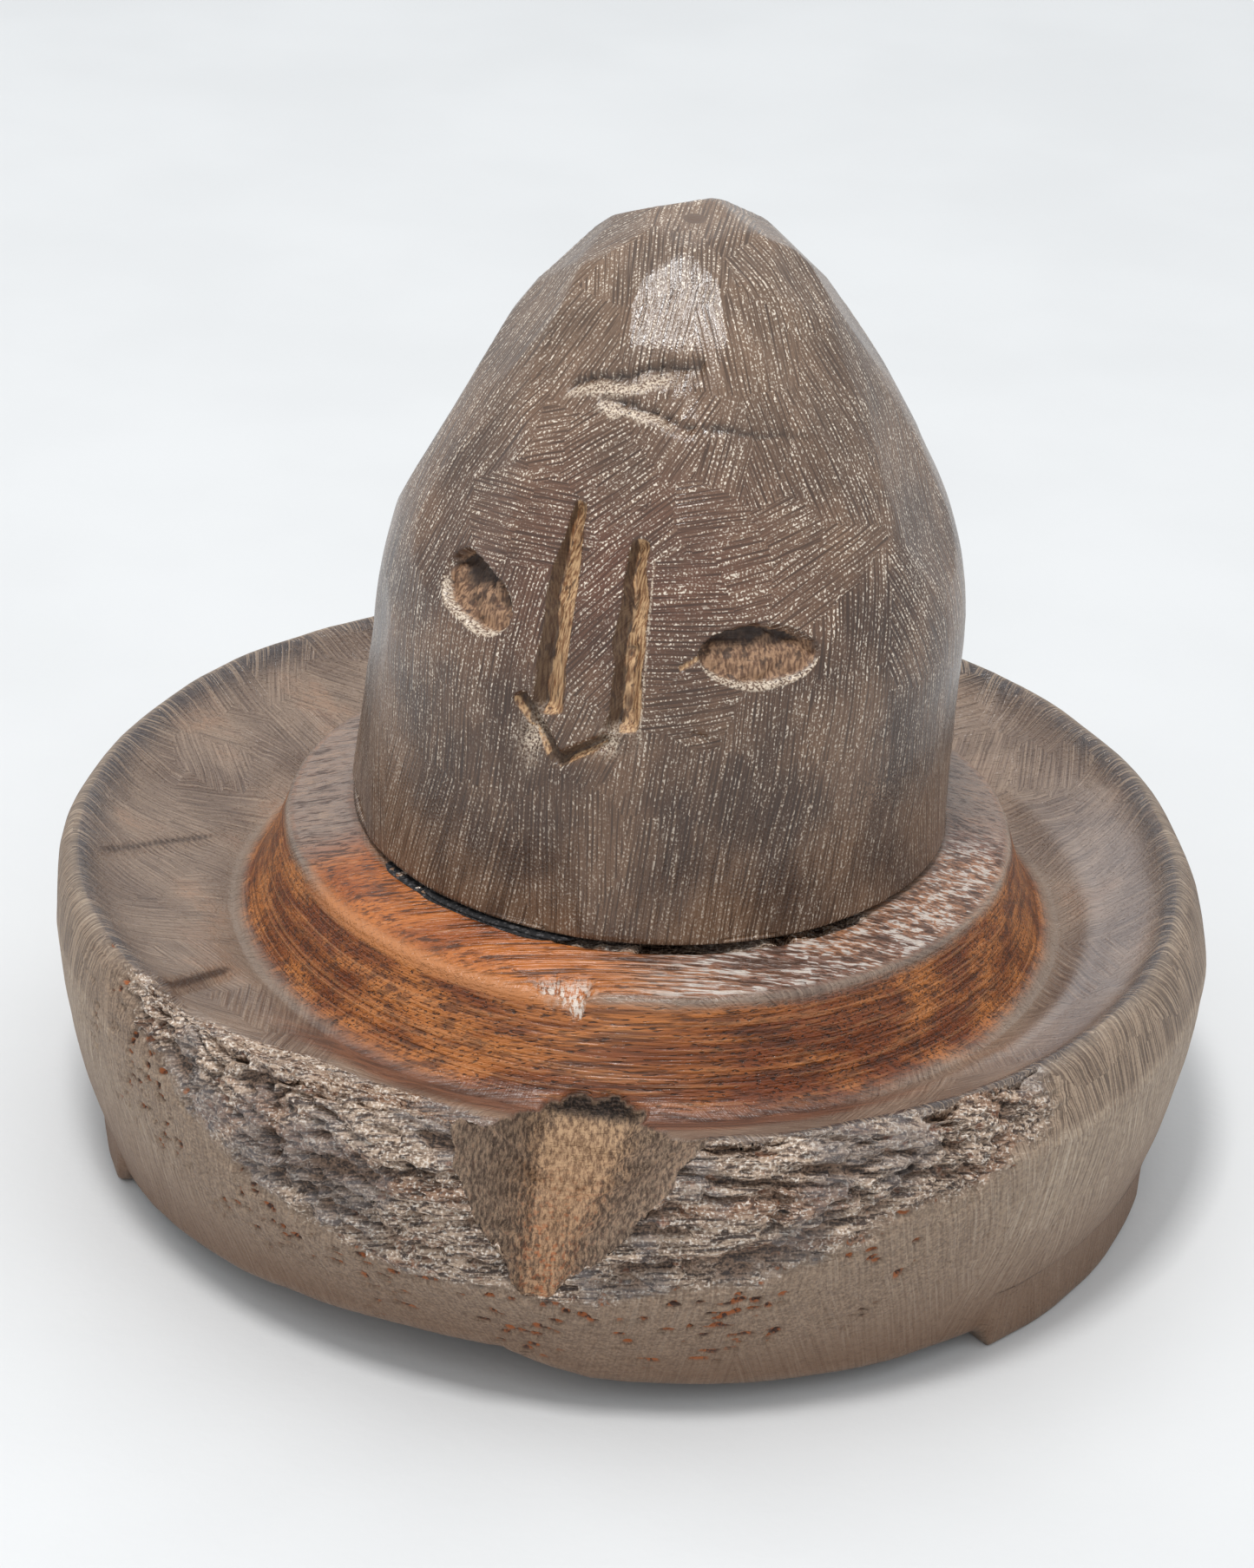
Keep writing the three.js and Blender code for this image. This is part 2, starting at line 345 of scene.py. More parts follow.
def base_rows():
    edge = RIM_RADIUS
    wall = WALL_RADIUS + 1.0
    foot = FOOT_INNER_RADIUS
    under = UNDERSIDE_HEIGHT
    low = (wall, 33.5)
    rim = (edge - 1.4, 42.9)
    trough = (edge - 18.5, 34.0)
    collar = (edge - 26.1, 47.3)
    seat = (HEAD_RADIUS, SEAT_HEIGHT - 0.15)
    hole_end = PEG_LOW[2] - HOLE_END_GAP
    return profile_rows(
        [
            (5, [(NEAR_AXIS, under), (foot - 1.0, under)], False),
            (7, [(foot - 1.0, under), (foot + 1.0, under), (edge - 5.8, under)], False),
            (8, [(edge - 5.8, under), (edge - 4.0, 3.4), (edge - 3.0, 4.4), (edge - 2.4, 6.0)], True),
            (54, [(edge - 2.4, 6.0), (edge - 0.6, 11.0), (edge + 1.4, 17.0), (edge + 3.1, 25.0), low], True),
            (14, [low, (wall - 0.4, 36.5), (wall - 1.1, 39.6)], True),
            (18, [(wall - 1.1, 39.6), (wall - 2.3, 42.2), (edge, 43.4), rim], True),
            (32, [rim, (edge - 5.0, 40.3), (edge - 11.0, 37.6), (edge - 15.0, 35.7), trough], True),
            (27, [trough, (edge - 20.6, 35.0), (edge - 22.4, 37.8), (edge - 24.4, 42.4), collar], True),
            (2, [collar, (edge - 26.5, 47.6)], False),
            (12, [(edge - 26.5, 47.6), seat], False),
            (6, [seat, (HOLE_RADIUS + 0.8, SEAT_HEIGHT)], False),
            (3, [(HOLE_RADIUS + 0.8, SEAT_HEIGHT), (HOLE_RADIUS, SEAT_HEIGHT - 0.8)], False),
            (3, [(HOLE_RADIUS, SEAT_HEIGHT - 0.8), (HOLE_RADIUS, hole_end)], False),
            (2, [(HOLE_RADIUS, hole_end), (NEAR_AXIS, hole_end)], False),
        ]
    )


def base_angles():
    """Columns round the base, close together across the weathered front and at the feet's ends."""
    back = [(-180, -104, 40), (-104, -62, 60)]
    front = [(-62, -20, 118), (-20, 12, 106), (12, 54, 110)]
    return spread(back + front + [(54, 82, 26), (82, 180, 48)])


def along_grain(points):
    """Points in the wood's own axes: along the fibres, through the block, and across them upwards."""
    x, y, z = np.moveaxis(points, -1, 0)
    along = x * math.cos(GRAIN_TILT) - z * math.sin(GRAIN_TILT)
    across = x * math.sin(GRAIN_TILT) + z * math.cos(GRAIN_TILT)
    return np.stack([along, y, across], axis=-1)


def shift_sideways(points, radius, height):
    """The rim was not turned but cut by eye, and it sits a little to the left of the collar."""
    outer = smoothstep(58.0, 75.0, radius)
    amount = np.interp(height, [0.0, 34.0, 43.0], [-1.2, -1.6, -2.7])
    turn = azimuth(points)
    swell = 1.0 + 0.022 * ridge_at(turn, 138.0, 30.0) * outer
    points[..., :2] *= swell[..., None]
    points[..., 0] += amount * outer
    points[..., 2] += 0.016 * np.maximum(points[..., 1], 0.0) * outer * smoothstep(10.0, 30.0, height)


def lower_the_edge(points, radius, height, angle):
    """The wall's lower edge rises and falls between the feet, and the feet stand down to the floor."""
    edge = np.interp(angle, *zip(*LOWER_EDGE))
    edge = np.where((angle > LOWER_EDGE[0][0]) & (angle < LOWER_EDGE[-1][0]), edge, 4.6)
    near_edge = smoothstep(64.0, 72.0, radius) * smoothstep(24.0, 6.0, height) * (radius > 20.0)
    lift = (edge - 6.0) * near_edge
    foot = np.zeros_like(angle)
    for middle, half in FEET:
        turn = (angle - middle + 180.0) % 360.0 - 180.0
        foot = np.maximum(foot, window(turn, -half, half, 0.6))
    foot = foot * smoothstep(FOOT_INNER_RADIUS - 1.0, FOOT_INNER_RADIUS + 1.0, radius) * (height < 10.0)
    down = smoothstep(9.0, 3.2, height)
    points[..., 2] += lift * (1.0 - foot)
    points[..., 2] = points[..., 2] * (1.0 - foot * down)
    out = foot * smoothstep(66.0, 70.0, radius) * down
    points[..., 0] += out * 1.2 * points[..., 0] / radius
    points[..., 1] += out * 1.2 * points[..., 1] / radius


# Creases between the gouge cuts on the brim:
# (angle at the rim, angle at the trough, depth of the cut after it, how dark the painted shade along the
# crease is).
BRIM_CUTS = [
    (-176, -168, 0.4, 0.0), (-150, -146, 0.6, 0.0), (-124, -118, 0.4, 0.0), (-104, -112, 0.6, 0.0),
    (-82, -99, 0.7, 0.9), (-53, -64, 1.0, 1.0), (-30, -36, 0.4, 0.0), (48, 50, 0.4, 0.0), (64, 76, 0.6, 0.2),
    (88, 94, 0.5, 0.0), (109, 126, 0.8, 0.2), (126, 134, 0.5, 0.0), (150, 147, 0.6, 0.0),
]


def gouge_the_brim(points, radius, angle, top_side):
    """Hollows the brim with one gouge cut after another. Returns painted shade for the creases between them.
    """
    reach = np.clip((radius - 60.0) / 15.0, 0.0, 1.0)
    cut = np.zeros_like(angle)
    crease = np.zeros_like(angle)
    for this, following in zip(BRIM_CUTS, BRIM_CUTS[1:] + BRIM_CUTS[:1]):
        start = this[0] * reach + this[1] * (1.0 - reach)
        end = following[0] * reach + following[1] * (1.0 - reach)
        span = (end - start) % 360.0
        t = ((angle - start) % 360.0) / span
        cut = np.where(t <= 1.0, this[2] * smoothstep(0.0, 0.06, t) * (1.0 - t), cut)
        beside = np.radians((angle - start + 180.0) % 360.0 - 180.0) * radius
        # Each crease gets a band of painted shade along its step.
        crease = np.maximum(crease, this[3] * ridge_at(beside, 0.0, 0.9))
    brim = smoothstep(59.0, 63.0, radius) * smoothstep(75.5, 72.0, radius) * top_side
    points[..., 2] -= (1.3 * cut + 0.5 * crease) * brim
    lip = 0.4 + 0.6 * window(angle, 40, 150, 20)
    points[..., 2] += 0.7 * ridge_at(radius, 62.0, 1.6) * top_side * lip
    return crease * brim


def notch_walls():
    """The planes that bound the drain notch: a point on each, and its normal, pointing into the cut."""
    def at(angle, radius, height):
        turn = math.radians(angle)
        return np.array([radius * math.sin(turn), -radius * math.cos(turn), height])

    def plane(a, b, c, inside):
        normal = np.cross(b - a, c - a)
        normal /= np.linalg.norm(normal)
        return a, normal if (inside - a) @ normal > 0 else -normal

    middle = at(-5, 68, 46)
    return [
        plane(at(-11.4, 56, 31.9), at(0.2, 56, 31.9), at(-8.4, 77.5, 20.0), middle),
        plane(at(-12.4, 56, 34.5), at(-17.0, 76, 43.5), at(-9.4, 77.5, 20.5), middle),
        plane(at(1.6, 56, 34.5), at(7.6, 77, 43.5), at(-6.4, 77.5, 20.0), middle),
        plane(at(-11, 54.9, 38.0), at(-3, 54.7, 38.0), at(-6, 54.3, 32.0), middle),
        plane(at(-11, 54.9, 38.0), at(-16, 57.6, 38.0), at(-11, 54.5, 32.0), middle),
        plane(at(-3, 54.7, 38.0), at(3.5, 57.4, 38.0), at(-3, 54.2, 32.0), middle),
    ]


def cut_the_notch(points):
    """Moves the points inside the notch down and inwards on to its walls. Returns paint for each wall."""
    turn = math.radians(NOTCH_ANGLE)
    way = np.array([-math.sin(turn) * 0.55, math.cos(turn) * 0.55, -0.84])
    rough = 1.5 * fractal(points / 6.0, 31, 3) + 0.2 * fractal(points / 1.6, 35, 2)
    reaches = []
    for spot, normal in notch_walls():
        reaches.append(((points - spot) @ normal + rough) / max(-way @ normal, 0.03))
    reaches = np.array(reaches)
    reach = np.maximum(reaches.min(axis=0), 0.0)
    share = np.exp(-(reaches - reaches.min(axis=0)) / 2.2)
    share /= share.sum(axis=0)
    points += reach[..., None] * way
    cut_here = smoothstep(0.15, 1.0, reach)
    return {
        "notch": cut_here,
        "notch_floor": cut_here * share[0],
        "notch_back": cut_here * share[3:].sum(axis=0),
        "notch_sand": cut_here * smoothstep(74.0, 57.0, np.hypot(points[..., 0], points[..., 1])),
    }


def scattered_holes(grain, size, warp, full, gone, seed):
    """1 in the middle of scattered oval spots of the given size, 0 between them."""
    return smoothstep(gone, full, cell_distance(grain / np.array(size) + warp, seed))


# Where the eroded wood ends: (angle, radius) on the brim and (angle, height) on the wall.
ERODED_INNER = [
    (-60, 76.0), (-50, 72.5), (-40, 67.5), (-26, 64.5), (-14, 66.0),
    (2, 74.0), (12, 75.2), (40, 75.6), (60, 77.0),
]
ERODED_LOW = [
    (-60, 40.0), (-50, 36.0), (-38, 28.0), (-22, 21.0), (-6, 20.0),
    (6, 23.0), (20, 27.0), (34, 33.0), (50, 39.0),
]


def weather(points, normals, height, angle, radius, top_side, clear):
    """The eroded front: ridges left along the grain, and pits between them. Returns paint for the wood."""
    uneven = 4.0 * fractal(points / 8.0, 41, 3)
    turn = window(angle + 1.6 * uneven, -55.0, 46.0, 6.0)
    inner = between(ERODED_INNER, angle)
    low = between(ERODED_LOW, angle)
    on_top = smoothstep(-1.2, 1.8, radius - inner + 0.3 * uneven) * top_side
    on_wall = smoothstep(-4.0, 4.0, height - low + uneven) * (1.0 - top_side)
    heavy = turn * np.maximum(on_top, on_wall) * clear
    light = window(angle, -62.0, 40.0, 8.0) * smoothstep(-8.0, 4.0, height - low + 13.0 + uneven)
    light *= (1.0 - top_side) * clear
    grain = along_grain(points)
    warp = fractal(points / 6.0, 43, 3)[..., None] * np.array([0.0, 0.8, 0.8])
    ridge = np.abs(fractal(grain / np.array([13.0, 3.0, 1.5]) + warp, 47, 3, 0.55))
    broad = fractal(grain / np.array([15.0, 4.0, 3.4]) + warp, 45, 2)
    fibres = fractal(grain / np.array([5.0, 0.9, 0.55]) + warp, 51, 2)
    hollow = smoothstep(0.02, 0.60, ridge - 0.40 * broad)
    pits = scattered_holes(grain, (7.5, 2.8, 1.9), warp, 0.12, 0.34, 53)
    holes = scattered_holes(grain, (3.4, 2.0, 1.5), warp, 0.16, 0.42, 57)
    slots = scattered_holes(grain, (9.0, 3.0, 1.8), 0.5 * warp, 0.14, 0.34, 63)
    clusters = smoothstep(-0.05, 0.3, fractal(points / 9.0, 59, 2))
    crest_wear = 0.5 * ridge_at(height, 43.0, 3.0)
    depth = heavy * (0.2 + crest_wear + 1.9 * hollow + 0.45 * fibres + 1.2 * pits * clusters)
    spots = holes * smoothstep(-0.25, 0.15, fractal(points / 6.0, 61, 2))
    spots = np.maximum(spots, slots * window(angle, -32.0, 14.0, 6.0) * window(height, 7.0, 21.0, 2.0))
    depth += light * (1.0 - 0.6 * heavy) * (0.16 * fibres + 0.9 * spots)
    depth = np.clip(depth, -0.3, 3.2)
    points -= normals * depth[..., None]
    pitted = pits * clusters * heavy
    return {
        "heavy": heavy,
        "light": light,
        "furrow": hollow * heavy,
        "pitted": pitted,
        "spots": spots * light,
    }


def wear_the_collar(points, radius, height, angle, on_ledge):
    """The collar's edge is worn down at the front left and torn at one spot."""
    worn = window(angle, -62.0, -9.0, 7.0)
    edge = ridge_at(radius, 49.6, 2.0) * (height > 42.0)
    grain = along_grain(points)
    points[..., 2] -= edge * worn * 0.9
    side = np.radians(angle + 10.0) * 49.5
    bar = bump_at(side + 1.0, radius - 48.6, 4.4, 1.6)
    stem = bump_at(side - 0.8, radius - 50.0, 1.1, 0.9)
    torn = np.maximum(bar, stem) * (height > 42.0)
    torn = smoothstep(0.25, 0.6, torn * (0.9 + 0.8 * fractal(grain / np.array([2.4, 0.8, 0.8]), 71, 3)))
    points[..., 2] -= 1.1 * torn
    rough = 0.10 + 0.24 * window(angle, 0.0, 75.0, 15.0) + 0.16 * window(angle, -120.0, -60.0, 12.0)
    rough *= smoothstep(HEAD_RADIUS + 1.6, HEAD_RADIUS + 4.5, radius)
    points[..., 2] += on_ledge * rough * fractal(grain / np.array([14.0, 1.0, 1.0]), 73, 3)
    return torn


# Rings of patches of tool strokes on the base: (radius, height, count),
# and how far the strokes of each ring may turn from upright.
BASE_RINGS = [
    (62, 36, 26), (70, 40, 26), (76, 43, 38), (80, 37, 44),
    (79, 26, 40), (77, 12, 34), (53, 41, 12), (46, 49, 12),
]
BASE_RING_TURNS = [55.0, 55.0, 38.0, 12.0, 16.0, 24.0, 80.0, 80.0]


def base_strokes(points, normals):
    spots = ring_spots(BASE_RINGS, 21)
    swing = np.concatenate([[turn] * count for (_, _, count), turn in zip(BASE_RINGS, BASE_RING_TURNS)])
    draws = hashed(np.stack([np.arange(len(spots))] * 3, axis=-1), 5) * 2.0 - 1.0
    return stroke_patches(points, normals, spots, swing * draws, 2.5)


def base_paints(radius, height, angle, top_side, outside, on_ledge, clear):
    """Where each kind of colour lies on the base."""
    upper = top_side * clear
    sides = window(angle, -106.0, -52.0, 5.0) + window(angle, 56.0, 104.0, 5.0)
    grey_part = window(angle, -170.0, -68.0, 8.0) + window(angle, 84.0, 180.0, 14.0)
    worn_part = window(angle, -62.0, -9.0, 7.0)
    cove = smoothstep(49.4, 51.0, radius) * smoothstep(58.8, 53.0, radius)
    return {
        "cove": cove * outside * upper,
        "trough": window(radius, 54.0, 63.5, 1.8) * window(angle, -46.0, 34.0, 9.0) * upper,
        "foot": ridge_at(radius, 57.4, 1.3) * sides * upper,
        # Painted reflection of the bright sky on the brim's right side.
        "painted_sky_sheen": window(radius, 62.0, 72.5, 2.5) * window(angle, 48.0, 112.0, 14.0) * upper,
        "rim": ridge_at(radius, 75.0, 1.9) * (height > 41.0),
        "wall": (1.0 - top_side) * smoothstep(2.0, 6.0, height),
        "low": smoothstep(30.0, 3.0, height),
        "chamfer": window(height, 35.0, 42.8, 0.8) * (1.0 - top_side),
        "ledge": on_ledge,
        "bleached": on_ledge * window(angle, 2.0, 84.0, 9.0),
        "sunny": on_ledge * window(angle, -66.0, -8.0, 10.0),
        "greyed": on_ledge * grey_part,
        "edge": ridge_at(radius, 49.7, 1.1) * (height > 46.0) * worn_part,
    }


def make_base():
    rows = base_rows()
    angles = base_angles()
    points = turned_points(rows, angles)
    radius = np.repeat(rows[:, 0][:, None], len(angles), axis=1)
    height = np.repeat(rows[:, 1][:, None], len(angles), axis=1)
    angle = np.repeat(angles[None, :], len(rows), axis=0)
    crest = int(np.argmax(np.where(rows[:, 0] > 60.0, rows[:, 1], 0.0)))
    top_side = (np.arange(len(rows)) > crest).astype(float)[:, None] * np.ones_like(angle)
    outside = (radius > HEAD_RADIUS).astype(float)
    on_ledge = window(radius, HEAD_RADIUS, 49.4, 0.3) * (height > 46.0)
    shift_sideways(points, radius, height)
    lower_the_edge(points, radius, height, angle)
    paints = {"crease": gouge_the_brim(points, radius, angle, top_side * outside)}
    paints["torn"] = wear_the_collar(points, radius, height, angle, on_ledge)
    outer = smoothstep(HEAD_RADIUS + 2.0, HEAD_RADIUS + 8.0, radius) * (height > 3.5)
    normals = grid_normals(points)
    points += normals * (outer * 0.4 * fractal(points / 15.0, 81, 3))[..., None]
    normals = grid_normals(points)
    patches = base_strokes(points, normals)
    paints.update(cut_the_notch(points))
    clear = 1.0 - paints["notch"]
    paints.update(weather(points, normals, height, angle, radius, top_side * outside, clear))
    paints.update(base_paints(radius, height, angle, top_side, outside, on_ledge, clear))
    start = (0.0, 0.0, rows[0, 1])
    end = (0.0, 0.0, rows[-1, 1])
    return grid_mesh("carved_base", points, start, end, paints, patches)


# -------- the head

FACE_ANGLE = -14.0
FACE_RADIUS = 37.5
HEAD_LEAN = 1.5

# The head's first rows lie in the mortise and under the head; the carving starts at this one.
FIRST_OUTER_ROW = 18

# The head's outline, from the seam up: (radius, height).
HEAD_SIDE = [
    (HEAD_RADIUS, HEAD_BOTTOM + 0.8), (40.5, 61.0), (39.9, 72.0), (39.3, 84.0), (36.7, 95.0), (31.3, 106.4),
    (24.7, 117.8), (19.6, 125.4), (14.3, 131.5), (8.0, 135.2), (NEAR_AXIS, HEAD_TOP),
]


def head_rows():
    deep = PEG_HIGH[2] + HOLE_END_GAP
    rounded = HEAD_RADIUS - 0.7
    return profile_rows(
        [
            (3, [(NEAR_AXIS, deep), (HOLE_RADIUS, deep)], False),
            (4, [(HOLE_RADIUS, deep), (HOLE_RADIUS, HEAD_BOTTOM + 0.8)], False),
            (3, [(HOLE_RADIUS, HEAD_BOTTOM + 0.8), (HOLE_RADIUS + 0.8, HEAD_BOTTOM)], False),
            (5, [(HOLE_RADIUS + 0.8, HEAD_BOTTOM), (rounded, HEAD_BOTTOM)], False),
            (6, [(rounded, HEAD_BOTTOM), (HEAD_RADIUS - 0.2, HEAD_BOTTOM + 0.2), HEAD_SIDE[0]], True),
            (48, HEAD_SIDE[:3], True),
            (94, HEAD_SIDE[2:6], True),
            (40, HEAD_SIDE[5:8], True),
            (22, HEAD_SIDE[7:], True),
        ]
    )


def head_angles():
    return spread([(-180, -62, 70), (-62, 38, 284), (38, 180, 86)])


# The planes that the rasp left: (angle, tilt up from level, how far it cuts in).
HEAD_PLANES = [
    (-78, 2, 1.0), (-22, 3, 0.7), (20, 3, 0.8), (92, 2, 1.0), (140, 3, 0.9), (-130, 2, 1.0), (180, 3, 0.8),
    (-54, 25, 1.0), (-14, 27, 0.8), (28, 27, 0.9), (72, 26, 1.0), (115, 26, 0.9), (160, 27, 0.9),
    (-100, 27, 1.0), (-145, 26, 0.9), (-40, 36, 0.9), (-4, 37, 0.8), (46, 36, 1.0), (98, 36, 0.9),
    (150, 36, 0.9), (-120, 36, 0.9), (-78, 36, 0.9), (-44, 46, 1.2), (-5, 46, 1.5), (30, 47, 1.2),
    (60, 48, 1.2), (110, 47, 1.2), (165, 47, 1.1), (-95, 47, 1.2), (-140, 47, 1.1), (-46, 62, 1.2),
    (38, 62, 1.4), (110, 64, 1.2), (-80, 62, 1.3), (-150, 63, 1.2), (10, 85, 1.3), (-60, 76, 0.9),
    (80, 76, 0.8),
]


def cut_planes(points, normals):
    """Flattens the dome where each plane passes just under its surface."""
    lift = np.zeros(points.shape[:-1])
    for angle, tilt, depth in HEAD_PLANES:
        turn, rise = math.radians(angle), math.radians(tilt)
        plane = np.array([math.sin(turn) * math.cos(rise), -math.cos(turn) * math.cos(rise), math.sin(rise)])
        height = points @ plane
        limit = height.max() - depth
        over = np.maximum(height - limit, 0.0)
        facing = np.maximum(normals @ plane, 0.3)
        lift = np.maximum(lift, over / facing)
    points -= normals * lift[..., None]


def face_place(points):
    """Distances over the face: sideways from its middle line and upwards, in millimetres."""
    around = (azimuth(points) - FACE_ANGLE + 180.0) % 360.0 - 180.0
    return np.radians(around) * FACE_RADIUS, points[..., 2]


def line_distance(across, up, start, end):
    """Distance from a straight line over the face, how far along it (0 to 1), and which side."""
    start, end = np.array(start), np.array(end)
    run = end - start
    t = np.clip(((across - start[0]) * run[0] + (up - start[1]) * run[1]) / (run @ run), 0.0, 1.0)
    off_x = across - start[0] - t * run[0]
    off_y = up - start[1] - t * run[1]
    side = np.sign(off_x * run[1] - off_y * run[0])
    return np.hypot(off_x, off_y), t, side


def groove_depth(across, up, start, end, half_width, depth, lean=0.0, taper=0.0):
    """A V-cut whose deepest line leans towards one side, and which may narrow towards its start."""
    distance, t, side = line_distance(across, up, start, end)
    width = half_width * (1.0 - taper * smoothstep(0.4, 0.0, t))
    signed = distance * side
    deepest = lean * width
    slope = np.where(signed > deepest, width - deepest, width + deepest)
    share = 1.0 - np.abs(signed - deepest) / slope
    ends = smoothstep(0.0, 0.06, t) * smoothstep(1.0, 0.94, t)
    inside = (distance < width) & (t > 0.0) & (t < 1.0)
    return np.where(inside, depth * np.clip(share, 0.0, 1.0) ** 0.8 * ends, 0.0)


def oval(across, up, middle, half_width, half_height, turn=0.0, point=2.0):
    """How far inside an oval or almond a place is: 1 at its middle, 0 on its outline."""
    x, y = across - middle[0], up - middle[1]
    c, s = math.cos(math.radians(turn)), math.sin(math.radians(turn))
    x, y = x * c + y * s, y * c - x * s
    span = np.clip(1.0 - (np.abs(x) / half_width) ** point, 0.0, 1.0)
    reach = np.maximum(half_height * np.sqrt(span), 1e-3)
    return np.where(np.abs(x) < half_width, 1.0 - np.abs(y) / reach, -1.0)


# Tool strokes over the face: (angle, height, turn of the strokes from upright).
FACE_STROKES = [
    (-52, 112, 20), (-44, 104, 78), (-38, 112, 64), (-30, 104, 84), (-58, 98, 8), (-54, 84, -6),
    (-46, 74, -4), (-36, 84, 2), (-30, 92, 6), (-30, 72, 4), (-18, 66, -3), (-24, 112, 52),
    (-14, 110, 46), (-6, 106, 44), (-15, 99, 40), (-14, 88, 38), (-15, 80, 20), (-2, 113, 30),
    (0, 99, 84), (2, 91, 88), (4, 84, 80), (0, 76, 6), (8, 107, 82), (16, 102, 86), (24, 104, 74),
    (30, 98, 66), (12, 112, 20), (22, 112, -12), (34, 110, -16), (36, 92, 12), (34, 80, 6), (22, 80, 4),
    (12, 72, 8), (22, 66, 10), (36, 68, 8), (4, 64, 5), (-34, 62, 9), (-50, 62, 12), (-6, 128, 8),
    (-18, 124, 4), (-18, 132, -4), (-34, 122, 14), (12, 126, -18),
]
# Rings of patches of tool strokes on the head: (radius, height, count).
HEAD_RINGS = [
    (40, 56, 18), (39.5, 71, 17), (37, 88, 16), (32, 103, 14),
    (25, 116, 11), (15, 130, 7), (3, 136, 2),
]


def head_strokes(points, normals):
    heights, radii = zip(*[(height, radius) for radius, height in HEAD_SIDE])
    spots = ring_spots(HEAD_RINGS, 31)
    turns = (hashed(np.stack([np.arange(len(spots))] * 3, axis=-1), 7) * 2.0 - 1.0) * 24.0
    around = azimuth(spots)
    behind = (around < -64.0) | (around > 44.0)
    face = np.array(FACE_STROKES, float)
    turn = np.radians(face[:, 0])
    radius = np.interp(face[:, 1], heights, radii)
    face_spots = np.stack([radius * np.sin(turn), -radius * np.cos(turn), face[:, 1]], axis=-1)
    spots = np.concatenate([spots[behind], face_spots])
    return stroke_patches(points, normals, spots, np.concatenate([turns[behind], face[:, 2]]), 1.6)


def torn_scar(points, across, up):
    """An old chip: two sharp upper lips, each with a torn bed that rises to nothing below it. Returns
    painted light for its upward ramps, painted shade under its lips, and its depth.
    """
    ragged = 0.7 * fractal(points / 1.8, 111, 3)
    high = between([(-16.5, 119.5), (-13.0, 120.6), (-3.5, 122.0), (4.5, 123.4), (13.8, 124.0)], across)
    low = between([(-8.0, 119.2), (-1.0, 119.0), (4.0, 118.5), (10.5, 117.4), (13.0, 117.2)], across)
    pale, dark, depth = (np.zeros_like(up) for _ in range(3))
    for line, start, end, reach in ((high, -16.0, 13.0, 2.3), (low, -8.0, 11.5, 1.7)):
        t = (line - up + ragged) / reach
        bed = smoothstep(0.0, 0.12, t) * window(across, start, end, 1.0)
        depth = np.maximum(depth, bed * np.clip(1.0 - t, 0.0, 1.0) * 1.25)
        # pale: painted light on the parts of each bed that ramp up towards the light.
        pale = np.maximum(pale, bed * window(t, 0.45, 1.1, 0.15) * smoothstep(9.0, 3.0, across))
        # dark: painted shade just under each lip.
        dark = np.maximum(dark, bed * smoothstep(0.42, 0.15, t))
    grooves = fractal(np.stack([across / 2.4, (up - 0.35 * across) / 0.8, across * 0.0], axis=-1), 107, 2)
    striped = window(across, 3.0, 13.5, 2.0) * window(up, 117.5, 123.4, 0.6)
    depth += striped * 0.35 * (1.0 - grooves)
    return pale, dark, depth


# The grooves of the face, from end to end: (distance from its middle line, height).
NOSE_LEFT = ((-6.2, 107.6), (-5.8, 80.2))
NOSE_RIGHT = ((3.7, 104.4), (4.3, 79.8))
NOSE_RIGHT_DEEP = ((4.6, 92.0), (5.0, 81.0))
MOUTH_LEFT = ((-9.9, 82.6), (-3.5, 74.4))
MOUTH_RIGHT = ((-3.9, 74.4), (2.4, 79.2))
EYE_TAIL = ((10.2, 89.2), (14.2, 91.6))
NICK = ((12.4, 80.9), (14.6, 80.1))
SCAR_CRACK = ((13.0, 117.0), (34.0, 114.4))


def groove_shade(across, up, coarse):
    """The shaded sides of the grooves."""
    shaded = 0.0
    for line in (NOSE_LEFT, NOSE_RIGHT):
        distance, _, side = line_distance(across, up, *line)
        shaded = np.maximum(shaded, window(distance * side + 0.5 * coarse, 0.7, 2.6, 0.3))
    for line in (MOUTH_LEFT, MOUTH_RIGHT):
        distance, _, side = line_distance(across, up, *line)
        shaded = np.maximum(shaded, window(-distance * side, -0.4, 1.4, 0.3))
    return shaded


